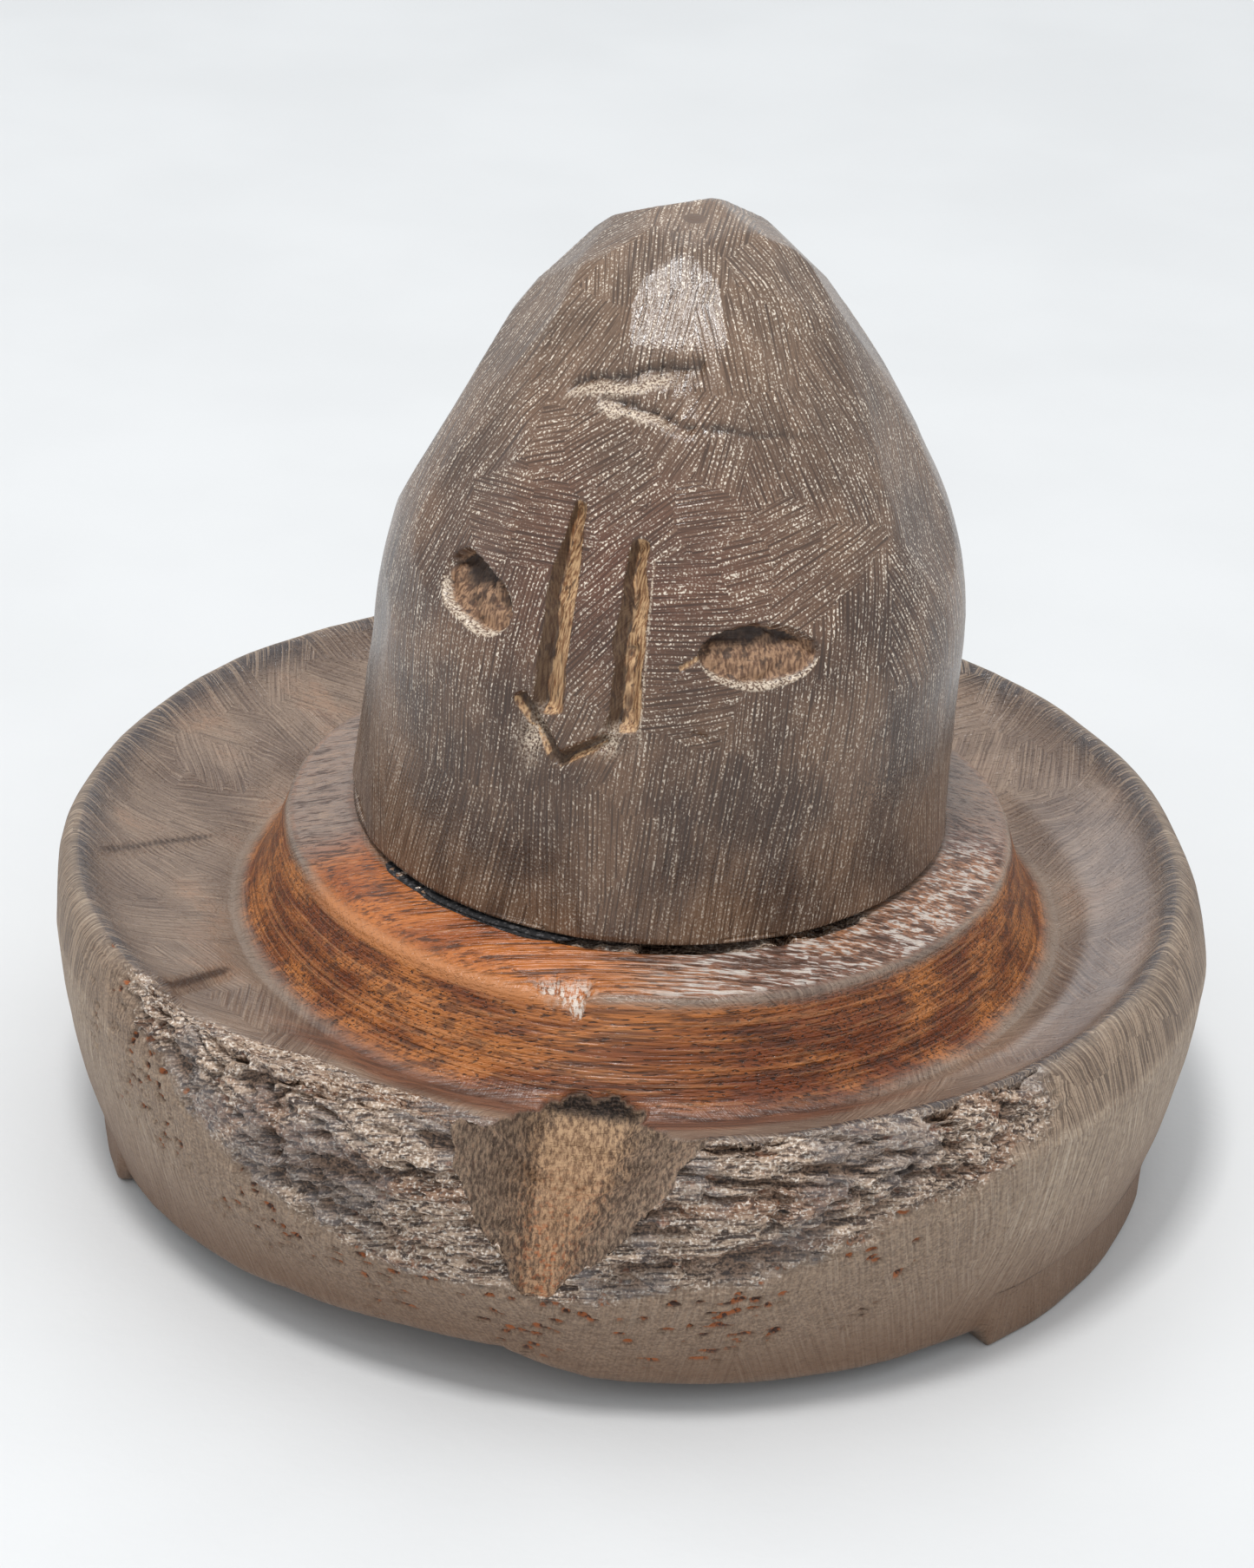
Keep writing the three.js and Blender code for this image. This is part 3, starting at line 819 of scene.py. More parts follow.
def carve_face(points, normals):
    """The eyes, the nose grooves, the mouth and the old scar. Returns paint for the wood."""
    across, up = face_place(points)
    fine = fractal(points / 1.1, 101, 3)
    coarse = fractal(points / 2.4, 103, 3)
    left = oval(across, up, (-19.4, 93.0), 7.0, 3.9, -12.0, 3.0)
    right = oval(across, up, (20.6, 90.8), 8.0, 4.0, -3.0, 1.6)
    left_pit = smoothstep(0.0, 0.14, left + 0.10 * coarse)
    right_pit = smoothstep(0.0, 0.12, right + 0.07 * coarse)
    left_depth = left_pit * (1.6 + 0.9 * coarse + 0.7 * smoothstep(90.0, 97.0, up) + 0.2 * fine)
    right_depth = right_pit * (1.2 + 0.6 * coarse + 1.3 * smoothstep(89.0, 94.0, up) + 0.15 * fine)
    wobble = 0.4 * fractal(points / 4.0, 105, 2)
    nose_left = groove_depth(across + wobble, up, *NOSE_LEFT, 2.2, 2.2, 0.3, 0.5)
    ragged = wobble + 0.35 * coarse
    nose_right = groove_depth(across + ragged, up, *NOSE_RIGHT, 2.1, 2.2, 0.25, 0.3)
    nose_right += 0.7 * groove_depth(across - wobble, up, *NOSE_RIGHT_DEEP, 1.0, 1.0)
    mouth_left = groove_depth(across + wobble, up, *MOUTH_LEFT, 1.2, 1.7, -0.2)
    mouth_right = groove_depth(across + wobble, up, *MOUTH_RIGHT, 1.0, 1.7, 0.2)
    tail = groove_depth(across, up, *EYE_TAIL, 0.7, 0.5)
    nick = groove_depth(across, up, *NICK, 0.5, 0.5)
    grooves = np.maximum.reduce([nose_left, nose_right, mouth_left, mouth_right, tail])
    carved = np.clip(grooves / 0.8, 0.0, 1.0)
    depth = np.maximum.reduce([left_depth, right_depth, grooves, nick])
    crumble = bump_at(across - 3.2, up - 78.6, 2.4, 1.8) + 0.9 * bump_at(across + 7.4, up - 76.8, 1.6, 3.2)
    crumble = np.clip(crumble * (0.7 + 1.3 * coarse), 0.0, 1.0)
    pale, dark, chip = torn_scar(points, across, up)
    crack, along, _side = line_distance(across, up + 0.5 * coarse, *SCAR_CRACK)
    cracked = smoothstep(0.5, 0.1, crack) * (1.0 - 0.7 * along)
    depth += 1.1 * crumble + chip + 0.6 * cracked
    points -= normals * depth[..., None]
    # Painted highlight along the lower lips of the eyes and the right edge of the right nose groove.
    left_lip = np.clip(1.0 - np.abs(left + 0.05 * coarse) / 0.22, 0.0, 1.0) * (up < 95.0)
    right_lip = np.clip(1.0 - np.abs(right + 0.04) / 0.22, 0.0, 1.0) * (up < 90.6)
    groove_lip = np.clip(1.0 - np.abs(across - 6.2) / 0.4, 0.0, 1.0) * window(up, 79.5, 102.0, 0.5)
    return {
        "carved": carved,
        "pits": np.maximum(left_pit, right_pit),
        "lips": np.clip(left_lip + right_lip + 0.7 * groove_lip, 0.0, 1.0),
        # Painted light on the scar's upward ramps.
        "scar": pale,
        "crumble": crumble,
        "shaded": groove_shade(across + wobble, up, coarse) * (carved > 0.0),
        # The crack's own dark, with painted shade under the scar's lips.
        "cracked": np.maximum(cracked, 0.75 * dark),
        "warm": bump_at(across, up - 103.0, 26.0, 15.0),
        "worm": bump_at(across - 39.0, up - 68.0, 4.5, 3.6),
        # How deep each place is cut, which the wood uses for painted shade in the deepest cuts.
        "sunk": np.clip(depth / 2.4, 0.0, 1.0),
    }


def make_head():
    rows = head_rows()
    angles = head_angles()
    points = turned_points(rows, angles)
    outer_rows = (np.arange(len(rows)) >= FIRST_OUTER_ROW).astype(float)
    outside = outer_rows[:, None] * np.ones(len(angles))[None, :]
    normals = grid_normals(points)
    flat = points.copy()
    cut_planes(flat, normals)
    points = points + (flat - points) * outside[..., None]
    points += normals * (outside * 0.20 * fractal(points / 11.0, 91, 3))[..., None]
    normals = grid_normals(points)
    patches = head_strokes(points, normals)
    before = points.copy()
    paints = carve_face(points, normals)
    points = before + (points - before) * outside[..., None]
    lean = HEAD_LEAN * smoothstep(HEAD_BOTTOM, 88.0, points[..., 2])
    points[..., 0] += lean * outside
    paints["height"] = (points[..., 2] - HEAD_BOTTOM) / (HEAD_TOP - HEAD_BOTTOM)
    start = (0.0, 0.0, rows[0, 1])
    top = tuple(points[-1].mean(axis=0))
    return grid_mesh("carved_head", points, start, top, paints, patches)


# -------- the packing strip


# The ribbon's cross-section: (share of its width, share of its height).
STRIP_SECTION = [
    (0.0, 0.0), (0.5, 0.0), (0.92, 0.0), (1.0, 0.25), (1.0, 0.75), (0.92, 1.0), (0.5, 1.0), (0.0, 1.0),
]


def make_strip(name, low, high, angles, inner, outer, seed):
    """One thin ribbon of the black packing, bent along the seam."""
    around = np.linspace(*angles, 120)
    turn = np.radians(around)
    wave = fractal(np.stack([around / 6.0, around * 0.0, around * 0.0], axis=-1), seed, 3)
    ends = np.sqrt(np.clip(1.0 - np.abs(np.linspace(-1.0, 1.0, 120)) ** 8, 0.0, 1.0))
    rim = outer + 0.35 * wave
    rings = []
    for share, lift in STRIP_SECTION:
        radius = inner + (rim - inner) * share * ends + (1.0 - ends) * (rim - inner) * 0.3
        height = low + (high - low) * (0.5 + (lift - 0.5) * np.maximum(ends, 0.15))
        rings.append(np.stack([radius * np.sin(turn), -radius * np.cos(turn), height], axis=-1))
    points = np.array(rings)
    count, steps = points.shape[:2]
    vertices = points.reshape(-1, 3) * MM
    faces = []
    for a in range(count):
        b = (a + 1) % count
        for k in range(steps - 1):
            faces.append((a * steps + k, a * steps + k + 1, b * steps + k + 1, b * steps + k))
    faces.append(tuple(a * steps for a in range(count)))
    faces.append(tuple(a * steps + steps - 1 for a in reversed(range(count))))
    mesh = bpy.data.meshes.new(name)
    mesh.from_pydata(vertices.tolist(), [], faces)
    mesh.update()
    return linked_piece(name, mesh)


# -------- materials


def srgb(red, green, blue):
    """A colour given as it looks on a screen, from 0 to 255."""
    parts = [value / 255.0 for value in (red, green, blue)]
    return tuple(v / 12.92 if v <= 0.04045 else ((v + 0.055) / 1.055) ** 2.4 for v in parts)


class Value:
    """A number or colour that comes out of a node, with arithmetic that adds more nodes."""

    def __init__(self, tree, socket):
        self.tree = tree
        self.socket = socket

    def __mul__(self, other):
        return self.tree.math("MULTIPLY", self, other)

    def __add__(self, other):
        return self.tree.math("ADD", self, other)

    def __sub__(self, other):
        return self.tree.math("SUBTRACT", self, other)

    def __rsub__(self, other):
        return self.tree.math("SUBTRACT", other, self)


class Tree:
    """A material's node tree, built by short calls that each return a value."""

    def __init__(self, name):
        self.material = bpy.data.materials.new(name)
        self.material.use_nodes = True
        self.nodes = self.material.node_tree.nodes
        self.links = self.material.node_tree.links
        self.shader = self.nodes["Principled BSDF"]
        self.place = self.add("ShaderNodeTexCoord", output="Object")

    def put(self, socket, value):
        if isinstance(value, Value):
            self.links.new(value.socket, socket)
        elif socket.type == "RGBA":
            socket.default_value = (*srgb(*value), 1.0)
        else:
            socket.default_value = value

    def add(self, kind, inputs=None, output=0, **settings):
        node = self.nodes.new(kind)
        for key, value in settings.items():
            setattr(node, key, value)
        for key, value in (inputs or {}).items():
            self.put(node.inputs[key], value)
        return Value(self, node.outputs[output])

    def attribute(self, name):
        return self.add("ShaderNodeAttribute", output="Fac", attribute_name=name)

    def math(self, operation, a, b=0.0):
        return self.add("ShaderNodeMath", {0: a, 1: b}, operation=operation)

    def most(self, a, b):
        return self.math("MAXIMUM", a, b)

    def step(self, value, low, high, start=0.0, end=1.0):
        """Goes smoothly from start to end as value goes from low to high."""
        inputs = {"Value": value, "From Min": low, "From Max": high, "To Min": start, "To Max": end}
        return self.add("ShaderNodeMapRange", inputs, interpolation_type="SMOOTHSTEP")

    def mix(self, amount, a, b):
        return self.add("ShaderNodeMix", {0: amount, 6: a, 7: b}, output=2, data_type="RGBA")

    def tint(self, base, colour, mask, low, high, strength=1.0):
        """Puts a colour over base as mask goes from low to high, up to the given strength."""
        return self.mix(self.step(mask, low, high, 0.0, strength), base, colour)

    def stretched(self, size, turn=(0.0, 0.0, 0.0), shift=(0.0, 0.0, 0.0)):
        """Object coordinates, turned, then measured in units of size millimetres along each axis."""
        angles = [math.radians(part) for part in turn]
        turned = self.add("ShaderNodeMapping", {"Vector": self.place, "Rotation": angles})
        scale = [1.0 / (MM * length) for length in size]
        scaled = {"Vector": turned, "Location": shift, "Scale": scale}
        return self.add("ShaderNodeMapping", scaled)

    def noise(self, vector, detail=2.0, rough=0.5, warp=0.0):
        inputs = {"Vector": vector, "Scale": 1.0, "Detail": detail, "Roughness": rough, "Distortion": warp}
        return self.add("ShaderNodeTexNoise", inputs, output="Fac")

    def speckle(self, size, detail=2.0, rough=0.5, warp=0.0, **placing):
        """Noise whose features are size millimetres along each axis."""
        return self.noise(self.stretched(size, **placing), detail, rough, warp)

    def bump(self, height):
        """A bump whose height is in millimetres."""
        return self.add("ShaderNodeBump", {"Strength": 1.0, "Distance": MM, "Height": height})

    def finish(self, colour, roughness, normal, **constants):
        self.put(self.shader.inputs["Base Color"], colour)
        self.put(self.shader.inputs["Roughness"], roughness)
        self.put(self.shader.inputs["Normal"], normal)
        for name, value in constants.items():
            self.shader.inputs[name.replace("_", " ")].default_value = value
        return self.material


def tool_strokes(tree, width, length):
    """Scratches of a rasp along each patch's own direction, from 0 to 1."""
    across = tree.attribute("across") * (1.0 / width)
    along = tree.attribute("along") * (1.0 / length)
    patch = tree.attribute("patch") * 7.3
    vector = tree.add("ShaderNodeCombineXYZ", {"X": across, "Y": along, "Z": patch})
    return tree.noise(vector, 1.5, 0.6, 0.2)


def comb(tree, pitch):
    """Evenly spaced parallel lines along each patch's own direction, from 0 to 1."""
    across, along, patch = (tree.attribute(name) for name in ("across", "along", "patch"))
    place = {"X": across * 0.4, "Y": along * 0.07, "Z": patch * 5.1}
    sway = tree.noise(tree.add("ShaderNodeCombineXYZ", place), 1.0)
    turns = across * (math.tau / pitch) + sway * 9.0
    return tree.math("SINE", turns) * 0.5 + 0.5


def head_wood():
    tree = Tree("head_wood")
    fine = tree.speckle((0.32, 0.32, 0.32), 1.5)
    dots = tree.speckle((0.26, 0.26, 0.32), 0.0, shift=(3.0, 1.0, 2.0))
    patches = tree.speckle((12.0, 12.0, 16.0), 3.0)
    thin = tool_strokes(tree, 0.20, 7.0)
    wide = tool_strokes(tree, 0.55, 16.0)
    mark = thin * 0.60 + wide * 0.28
    mark += comb(tree, 0.62) * 0.12
    fleck = tree.step(mark, 0.46, 0.62) * tree.step(dots, 0.53, 0.68)
    height = tree.attribute("height")
    # The pale flecks are dust with painted glints, and they fade lower down as painted shade.
    dust_and_light_by_height = tree.step(height, 0.1, 0.5, 0.45, 0.85)
    ground = tree.tint((74, 53, 40), (112, 85, 65), patches, 0.35, 0.65)
    warm = tree.attribute("warm") * tree.step(patches, 0.2, 0.6)
    ground = tree.mix(warm * 0.9, ground, (88, 46, 30))
    # Painted light: the ground grows paler towards the top of the head.
    ground = tree.tint(ground, (122, 100, 82), height, 0.4, 0.95, 0.5)
    colour = tree.tint(ground, (44, 31, 24), mark, 0.49, 0.38, 0.6)
    colour = tree.tint(colour, (168, 142, 118), mark, 0.54, 0.64, 0.24)
    colour = tree.mix(fleck * dust_and_light_by_height, colour, (238, 224, 206))

    carved = tree.attribute("carved")
    shaded = tree.attribute("shaded")
    sunk = tree.attribute("sunk")
    inside = tree.speckle((0.35, 0.35, 2.6), 2.0)
    raw = tree.tint((132, 92, 60), (206, 168, 126), inside, 0.36, 0.64)
    slit = tree.speckle((0.55, 0.55, 3.5), 1.0, shift=(7.0, 2.0, 5.0))
    raw = tree.tint(raw, (78, 54, 38), slit, 0.42, 0.34, 0.8)
    raw = tree.tint(raw, (60, 43, 33), shaded, 0.2, 0.6, 0.85)
    # Painted shade in the deepest parts of the cuts.
    raw = tree.tint(raw, (52, 36, 27), sunk, 0.80, 1.0)
    cut = tree.step(carved + fine * 0.3, 0.35, 0.75)
    colour = tree.mix(cut, colour, raw)
    pits = tree.attribute("pits")
    blotch = tree.speckle((1.3, 1.3, 1.5), 3.0)
    floor = tree.tint((100, 70, 50), (164, 128, 98), inside, 0.36, 0.64)
    floor = tree.tint(floor, (62, 42, 31), blotch, 0.46, 0.36, 0.75)
    # Painted shade in the deepest parts of the eye pits.
    floor = tree.tint(floor, (40, 26, 19), sunk, 0.74, 1.0, 0.9)
    colour = tree.tint(colour, floor, pits, 0.4, 0.9)
    pale = tree.tint((134, 106, 84), (224, 206, 184), fine, 0.35, 0.65)
    # Painted highlight on the lips, pale where they face the light.
    lip_highlights = tree.step(tree.attribute("lips"), 0.25, 0.7) * tree.step(fine, 0.33, 0.55)
    # The scar's share is painted light on its upward ramps; the crumble is the wood's own pale tone.
    torn = tree.most(tree.attribute("scar"), tree.attribute("crumble")) * tree.step(fine, 0.36, 0.56)
    colour = tree.mix(tree.most(lip_highlights, torn) * 0.9, colour, pale)
    # Dark cracks and worm holes, with painted shade under the scar's lips.
    cracks_holes_and_scar_shade = tree.most(tree.attribute("cracked"), tree.attribute("worm") * tree.step(dots, 0.46, 0.30))
    colour = tree.mix(cracks_holes_and_scar_shade * 0.85, colour, (38, 27, 21))
    rough = tree.step(mark, 0.35, 0.65, 0.19, 0.34)
    rough += tree.most(cut, pits) * 0.4
    relief = (thin - 0.5) * 0.06 + (wide - 0.5) * 0.14
    relief += (dots - 0.5) * 0.045
    relief += (fine - 0.5) * 0.3 * torn
    return tree.finish(colour, rough, tree.bump(relief), Specular_IOR_Level=0.55)


def ring_lines(tree, width):
    """Fine lines that run round the axis, from 0 to 1."""
    x, y, z = (tree.add("ShaderNodeSeparateXYZ", {"Vector": tree.place}, output=k) for k in range(3))
    flat = tree.add("ShaderNodeCombineXYZ", {"X": x, "Y": y})
    radius = tree.add("ShaderNodeVectorMath", {0: flat}, output="Value", operation="LENGTH")
    fine = 1.0 / (MM * width)
    place = {"X": radius * fine, "Y": z * fine, "Z": x * 60.0 + y * 45.0}
    return tree.noise(tree.add("ShaderNodeCombineXYZ", place), 2.0, 0.6)


def bare_wood(tree, bands, streak, fibre, pores):
    """The red-brown wood of the collar."""
    wood = tree.tint((120, 60, 26), (182, 111, 55), bands, 0.36, 0.64)
    wood = tree.tint(wood, (78, 42, 24), streak, 0.50, 0.36, 0.7)
    wood = tree.tint(wood, (64, 35, 22), fibre, 0.50, 0.36, 0.6)
    return tree.mix(pores * 0.85, wood, (36, 21, 15))


def brim_wood(tree, wood, patches, streak, thin):
    """The dull brim, redder in the trough at the front, with painted shade along its creases and a painted
    reflection of the sky on its right side.
    """
    dull = tree.tint((108, 89, 77), (138, 117, 101), patches, 0.35, 0.65)
    dull = tree.mix(comb(tree, 0.8) * 0.16, dull, (184, 162, 142))
    dull = tree.tint(dull, (190, 166, 144), thin, 0.54, 0.68, 0.28)
    dull = tree.tint(dull, (62, 46, 38), thin, 0.46, 0.34, 0.45)
    dull = tree.tint(dull, wood, patches, 0.54, 0.66, 0.12)
    # Painted shade along the creases between the gouge cuts.
    dull = tree.tint(dull, (50, 36, 29), tree.attribute("crease"), 0.3, 0.9, 0.8)
    reddened = tree.tint((72, 40, 29), (126, 80, 58), streak, 0.40, 0.60)
    dull = tree.mix(tree.attribute("trough") * 0.8, dull, reddened)
    # Painted reflection of the sky: a pale grey-blue veil over the brim's right side.
    return tree.mix(tree.attribute("painted_sky_sheen") * 0.16, dull, (196, 198, 206))


def ledge_wood(tree, wood, split):
    """The top of the collar, bleached at the right and greyed at the back and the left."""
    bleached = tree.attribute("bleached")
    grey = tree.most(bleached * 0.45, tree.attribute("greyed")) * 0.85
    top = tree.mix(grey, tree.mix(0.12, wood, (92, 48, 26)), (140, 122, 110))
    top = tree.mix(tree.attribute("sunny") * 0.30, top, (208, 112, 44))
    top = tree.tint(top, (62, 36, 22), split, 0.50, 0.40, 0.8)
    top = tree.mix(bleached * tree.step(split, 0.51, 0.58) * 0.85, top, (202, 194, 186))
    return tree.tint(top, (206, 168, 132), split, 0.56, 0.66, 0.22)


def wall_wood(tree, grit, thin):
    """The rasped outer wall, browner towards the floor and darker under the rim."""
    side = tree.tint((132, 111, 93), (158, 136, 114), grit, 0.35, 0.65)
    side = tree.tint(side, (208, 190, 170), thin, 0.54, 0.68, 0.5)
    side = tree.tint(side, (84, 65, 51), thin, 0.46, 0.34, 0.5)
    side = tree.mix(comb(tree, 0.85) * 0.26, side, (196, 178, 158))
    side = tree.mix(tree.attribute("low") * 0.85, side, (106, 76, 54))
    chamfer = tree.tint((78, 60, 48), (150, 127, 106), thin, 0.4, 0.6)
    return tree.mix(tree.attribute("chamfer") * 0.7, side, chamfer)


def eroded_wood(tree, fibre, fine, bands, patches, furrow):
    """The weathered front: pale fibres, painted glints, grey patches, dark furrows and pits."""
    bark = tree.tint((84, 62, 48), (188, 163, 141), fibre * 0.6 + fine * 0.4, 0.38, 0.60)
    bark = tree.tint(bark, (136, 86, 50), bands, 0.50, 0.62, 0.45)
    # Painted glints: near-white specks as if the glossy ridges caught the light.
    bark = tree.tint(bark, (234, 223, 211), fine, 0.54, 0.64, 0.75)
    bark = tree.tint(bark, (52, 36, 28), fibre, 0.50, 0.36, 0.75)
    bark = tree.tint(bark, (106, 100, 100), patches, 0.50, 0.62, 0.5)
    trench = tree.tint((44, 30, 22), (134, 104, 82), fibre * 0.5 + fine * 0.5, 0.40, 0.62)
    bark = tree.tint(bark, trench, furrow, 0.2, 0.9, 0.85)
    return tree.tint(bark, (44, 28, 19), tree.attribute("pitted"), 0.3, 0.8)


def notch_wood(tree, shred, grit, fine):
    """The drain notch: sandy inside, earthy at its mouth, stale on its sides, dark at its back lip, partly
    as painted shade.
    """
    sand = tree.tint((126, 95, 69), (184, 150, 116), shred, 0.36, 0.64)
    earth = tree.tint((106, 78, 56), (170, 134, 102), shred, 0.36, 0.64)
    earth = tree.tint(earth, (160, 86, 40), grit, 0.54, 0.64, 0.6)
    stale = tree.tint((72, 57, 47), (142, 121, 102), shred, 0.36, 0.64)
    inner = tree.mix(tree.attribute("notch_sand"), earth, sand)
    beside = tree.step(tree.attribute("notch_floor") + (shred - 0.5) * 1.6, 0.85, 0.0)
    inner = tree.mix(beside * 0.9, inner, stale)
    # The back lip's dark is partly painted shade under the step and partly the wood's own dark.
    lip = tree.tint((26, 18, 14), (88, 72, 62), fine, 0.4, 0.7)
    return tree.tint(inner, lip, tree.attribute("notch_back"), 0.3, 0.7)


def base_wood():
    tree = Tree("base_wood")
    tilt = (0.0, math.degrees(GRAIN_TILT), 0.0)
    streak = tree.speckle((34.0, 1.7, 1.3), 3.0, 0.6, 0.3, turn=tilt)
    fibre = tree.speckle((11.0, 0.5, 0.5), 2.0, 0.6, 0.2, turn=tilt)
    bands = tree.speckle((70.0, 7.0, 4.5), 2.0, 0.55, 0.4, turn=tilt)
    lines = tree.speckle((30.0, 0.42, 0.42), 2.0, 0.6, 0.1, turn=tilt)
    pores = tree.step(tree.speckle((2.4, 0.3, 0.3), 1.0, turn=tilt), 0.60, 0.70)
    fine = tree.speckle((0.4, 0.4, 0.4), 3.0)
    grit = tree.speckle((0.8, 0.8, 0.8), 2.0)
    patches = tree.speckle((13.0, 13.0, 13.0), 3.0)
    shred = tree.speckle((0.45, 1.3, 1.0), 3.0, 0.7)
    rings = ring_lines(tree, 0.55)
    thin = tool_strokes(tree, 0.26, 10.0)
    wide = tool_strokes(tree, 1.0, 24.0)
    cove = tree.attribute("cove")
    ledge = tree.attribute("ledge")
    wall = tree.attribute("wall")
    furrow = tree.attribute("furrow")
    notch = tree.attribute("notch")
    rim = tree.attribute("rim") * tree.step(patches + grit * 0.3, 0.40, 0.66)
    heavy = tree.step(tree.attribute("heavy") + (grit - 0.5) * 0.6, 0.25, 0.6)
    light = tree.attribute("light") * (1.0 - heavy)

    wood = bare_wood(tree, bands, streak, fibre, pores)
    hollow = tree.tint(wood, (196, 138, 90), rings, 0.52, 0.64, 0.30)
    hollow = tree.tint(hollow, (52, 29, 18), rings, 0.48, 0.36, 0.45)
    dull = brim_wood(tree, wood, patches, streak, thin)
    colour = tree.tint(dull, hollow, cove + patches * 0.5, 0.40, 1.0)
    colour = tree.mix(tree.attribute("foot") * 0.7, colour, (130, 111, 96))
    colour = tree.mix(ledge, colour, ledge_wood(tree, wood, lines * 0.65 + streak * 0.35))
    colour = tree.mix(tree.attribute("edge") * 0.8, colour, (196, 122, 64))
    colour = tree.mix(wall, colour, wall_wood(tree, grit, thin))
    banded = tree.tint((56, 52, 55), (140, 122, 106), thin, 0.50, 0.62)
    colour = tree.mix(rim * 0.85, colour, banded)
    colour = tree.mix(heavy, colour, eroded_wood(tree, fibre, fine, bands, patches, furrow))
    worn = tree.tint((104, 82, 66), (152, 127, 105), fine, 0.35, 0.65)
    worn = tree.tint(worn, (74, 54, 42), fibre, 0.48, 0.36, 0.5)
    colour = tree.mix(light * 0.55, colour, worn)
    rust = tree.tint((160, 88, 40), (66, 39, 25), grit, 0.42, 0.58)
    rusty = tree.step(tree.attribute("spots"), 0.25, 0.6) * (1.0 - heavy * 0.75)
    colour = tree.mix(rusty, colour, rust)
    colour = tree.tint(colour, notch_wood(tree, shred, grit, fine), notch, 0.3, 0.8)
    torn = tree.attribute("torn") * tree.step(shred, 0.42, 0.54)
    colour = tree.mix(torn, colour, (212, 196, 182))

    rough = tree.step(tree.most(wall * 0.6, notch), 0.0, 1.0, 0.32, 0.80)
    rough -= heavy * (1.0 - furrow) * 0.30
    rough -= rim * 0.12
    rough += (fine - 0.5) * 0.2
    plain = 1.0 - tree.most(cove, ledge)
    relief = (fibre - 0.5) * 0.20
    relief += (lines - 0.5) * 0.34 * ledge
    relief += (rings - 0.5) * 0.26 * cove
    relief += (thin - 0.5) * 0.14 * plain
    relief += (wide - 0.5) * 0.20 * plain
    relief += (fine - 0.5) * (tree.most(heavy, notch) * 0.16 + 0.06)
    relief -= pores * 0.08
    return tree.finish(colour, rough, tree.bump(relief), Specular_IOR_Level=0.5)


def peg_wood():
    tree = Tree("peg_wood")
    fibre = tree.speckle((0.5, 0.5, 12.0), 3.0, 0.6, 0.2)
    fine = tree.speckle((0.4, 0.4, 0.4), 3.0)
    colour = tree.tint((116, 74, 44), (172, 124, 82), fibre, 0.35, 0.65)
    colour = tree.tint(colour, (84, 56, 38), fine, 0.5, 0.8, 0.4)
    height = (fibre - 0.5) * 0.2
    rough = tree.step(fine, 0.2, 0.8, 0.55, 0.75)
    return tree.finish(colour, rough, tree.bump(height))


def tarred_strip():
    tree = Tree("tarred_strip")
    fine = tree.speckle((0.5, 0.5, 0.5), 3.0)
    colour = tree.tint((20, 19, 21), (96, 92, 92), fine, 0.5, 0.75)
    height = (fine - 0.5) * 0.1
    rough = tree.step(fine, 0.2, 0.8, 0.6, 0.9)
    return tree.finish(colour, rough, tree.bump(height))


def pale_floor():
    tree = Tree("pale_floor")
    cloud = tree.speckle((60.0, 60.0, 60.0), 3.0)
    colour = tree.tint((215, 215, 215), (219, 219, 219), cloud, 0.3, 0.7)
    fine = tree.speckle((2.0, 2.0, 2.0), 3.0)
    return tree.finish(colour, 0.55, tree.bump(fine * 0.05))


# -------- stage


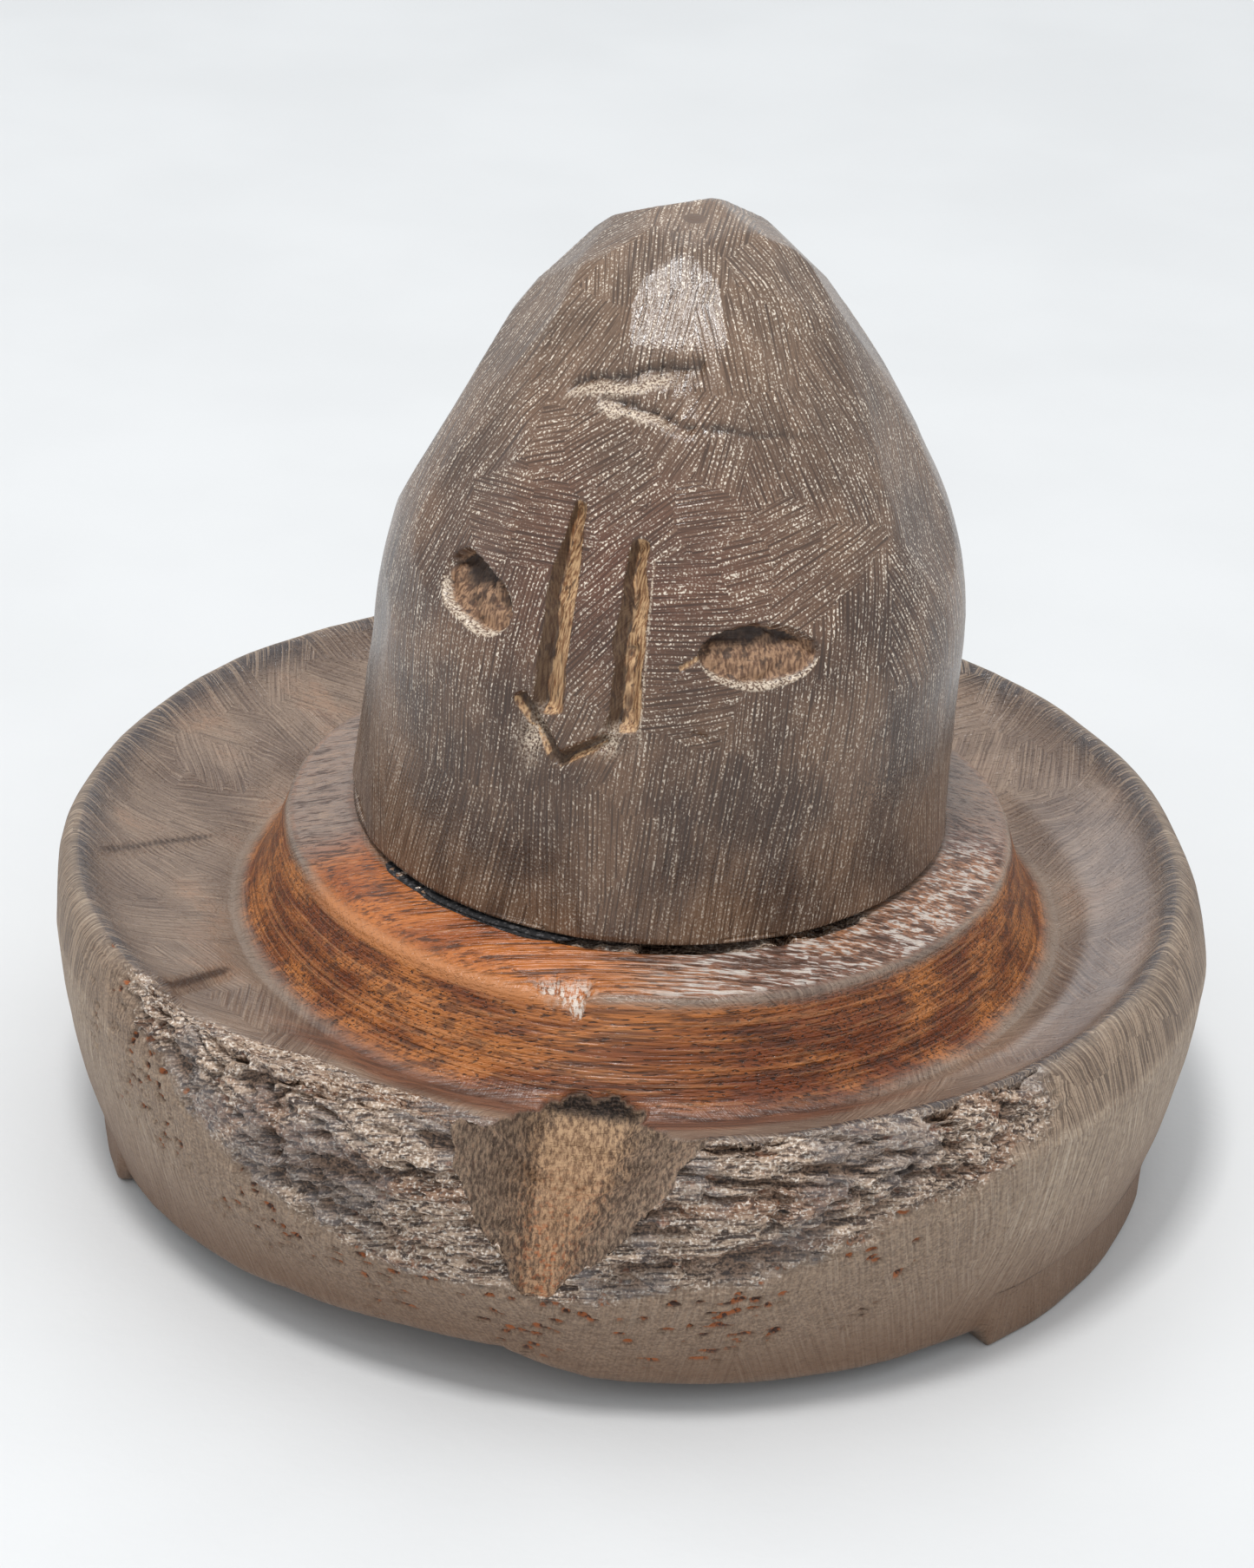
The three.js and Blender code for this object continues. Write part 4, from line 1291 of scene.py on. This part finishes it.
def make_sky():
    """An even white studio, a touch dimmer above and behind the carving than in front of it."""
    world = bpy.data.worlds.new("studio")
    world.use_nodes = True
    nodes, links = world.node_tree.nodes, world.node_tree.links
    way = nodes.new("ShaderNodeTexCoord")
    towards = nodes.new("ShaderNodeVectorMath")
    towards.operation = "DOT_PRODUCT"
    towards.inputs[1].default_value = (-0.16, 0.45, 0.85)
    level = nodes.new("ShaderNodeMapRange")
    level.inputs["From Min"].default_value = -0.5
    level.inputs["From Max"].default_value = 1.0
    level.inputs["To Min"].default_value = 0.90
    level.inputs["To Max"].default_value = 0.86
    links.new(way.outputs["Generated"], towards.inputs[0])
    links.new(towards.outputs["Value"], level.inputs["Value"])
    links.new(level.outputs[0], nodes["Background"].inputs["Strength"])
    nodes["Background"].inputs["Color"].default_value = (0.93, 0.97, 1.0, 1.0)
    bpy.context.scene.world = world


def make_stage():
    bpy.ops.mesh.primitive_plane_add(size=8.0, location=(0.0, 0.0, 0.0))
    floor = bpy.context.object
    floor.name = "floor"
    floor.data.materials.append(pale_floor())
    make_sky()
    lights = [
        ("ceiling", (-0.10, 0.16, 1.25), 1.0, 1.6),
        ("window", (-0.12, -0.33, 1.16), 0.20, 7.0),
    ]
    for name, place, size, power in lights:
        data = bpy.data.lights.new(name, "AREA")
        data.shape = "SQUARE"
        data.size = size
        data.energy = power
        lamp = bpy.data.objects.new(name, data)
        lamp.location = place
        aim = Vector((0.0, 0.0, 0.06)) - lamp.location
        lamp.rotation_euler = aim.to_track_quat("-Z", "Y").to_euler()
        bpy.context.scene.collection.objects.link(lamp)
    bpy.context.scene.view_settings.view_transform = "Standard"


# -------- assembly


def place(piece, material, body, node, slot):
    piece.data.materials.append(material)
    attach(piece, body)
    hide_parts(node)


make_camera()
place(make_base(), base_wood(), "stand", "base", "base_wood")
place(make_head(), head_wood(), "head", "head", "head_wood")

strip_material = tarred_strip()
middle = (STRIP_LOW[2] + STRIP_HIGH[2]) / 2.0
place(
    make_strip("packing_strip_lower", STRIP_LOW[2], middle - 0.02, (-61.0, -13.0), 35.5, 42.0, 5),
    strip_material, "stand", "packing_strip", "tarred_strip",
)
upper = make_strip("packing_strip_upper", middle + 0.02, STRIP_HIGH[2], (-48.0, -11.0), 35.5, 41.7, 9)
place(upper, strip_material, "stand", "packing_strip", "tarred_strip")

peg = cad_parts["peg"]
peg.data.materials.clear()
peg.data.materials.append(peg_wood())

make_stage()
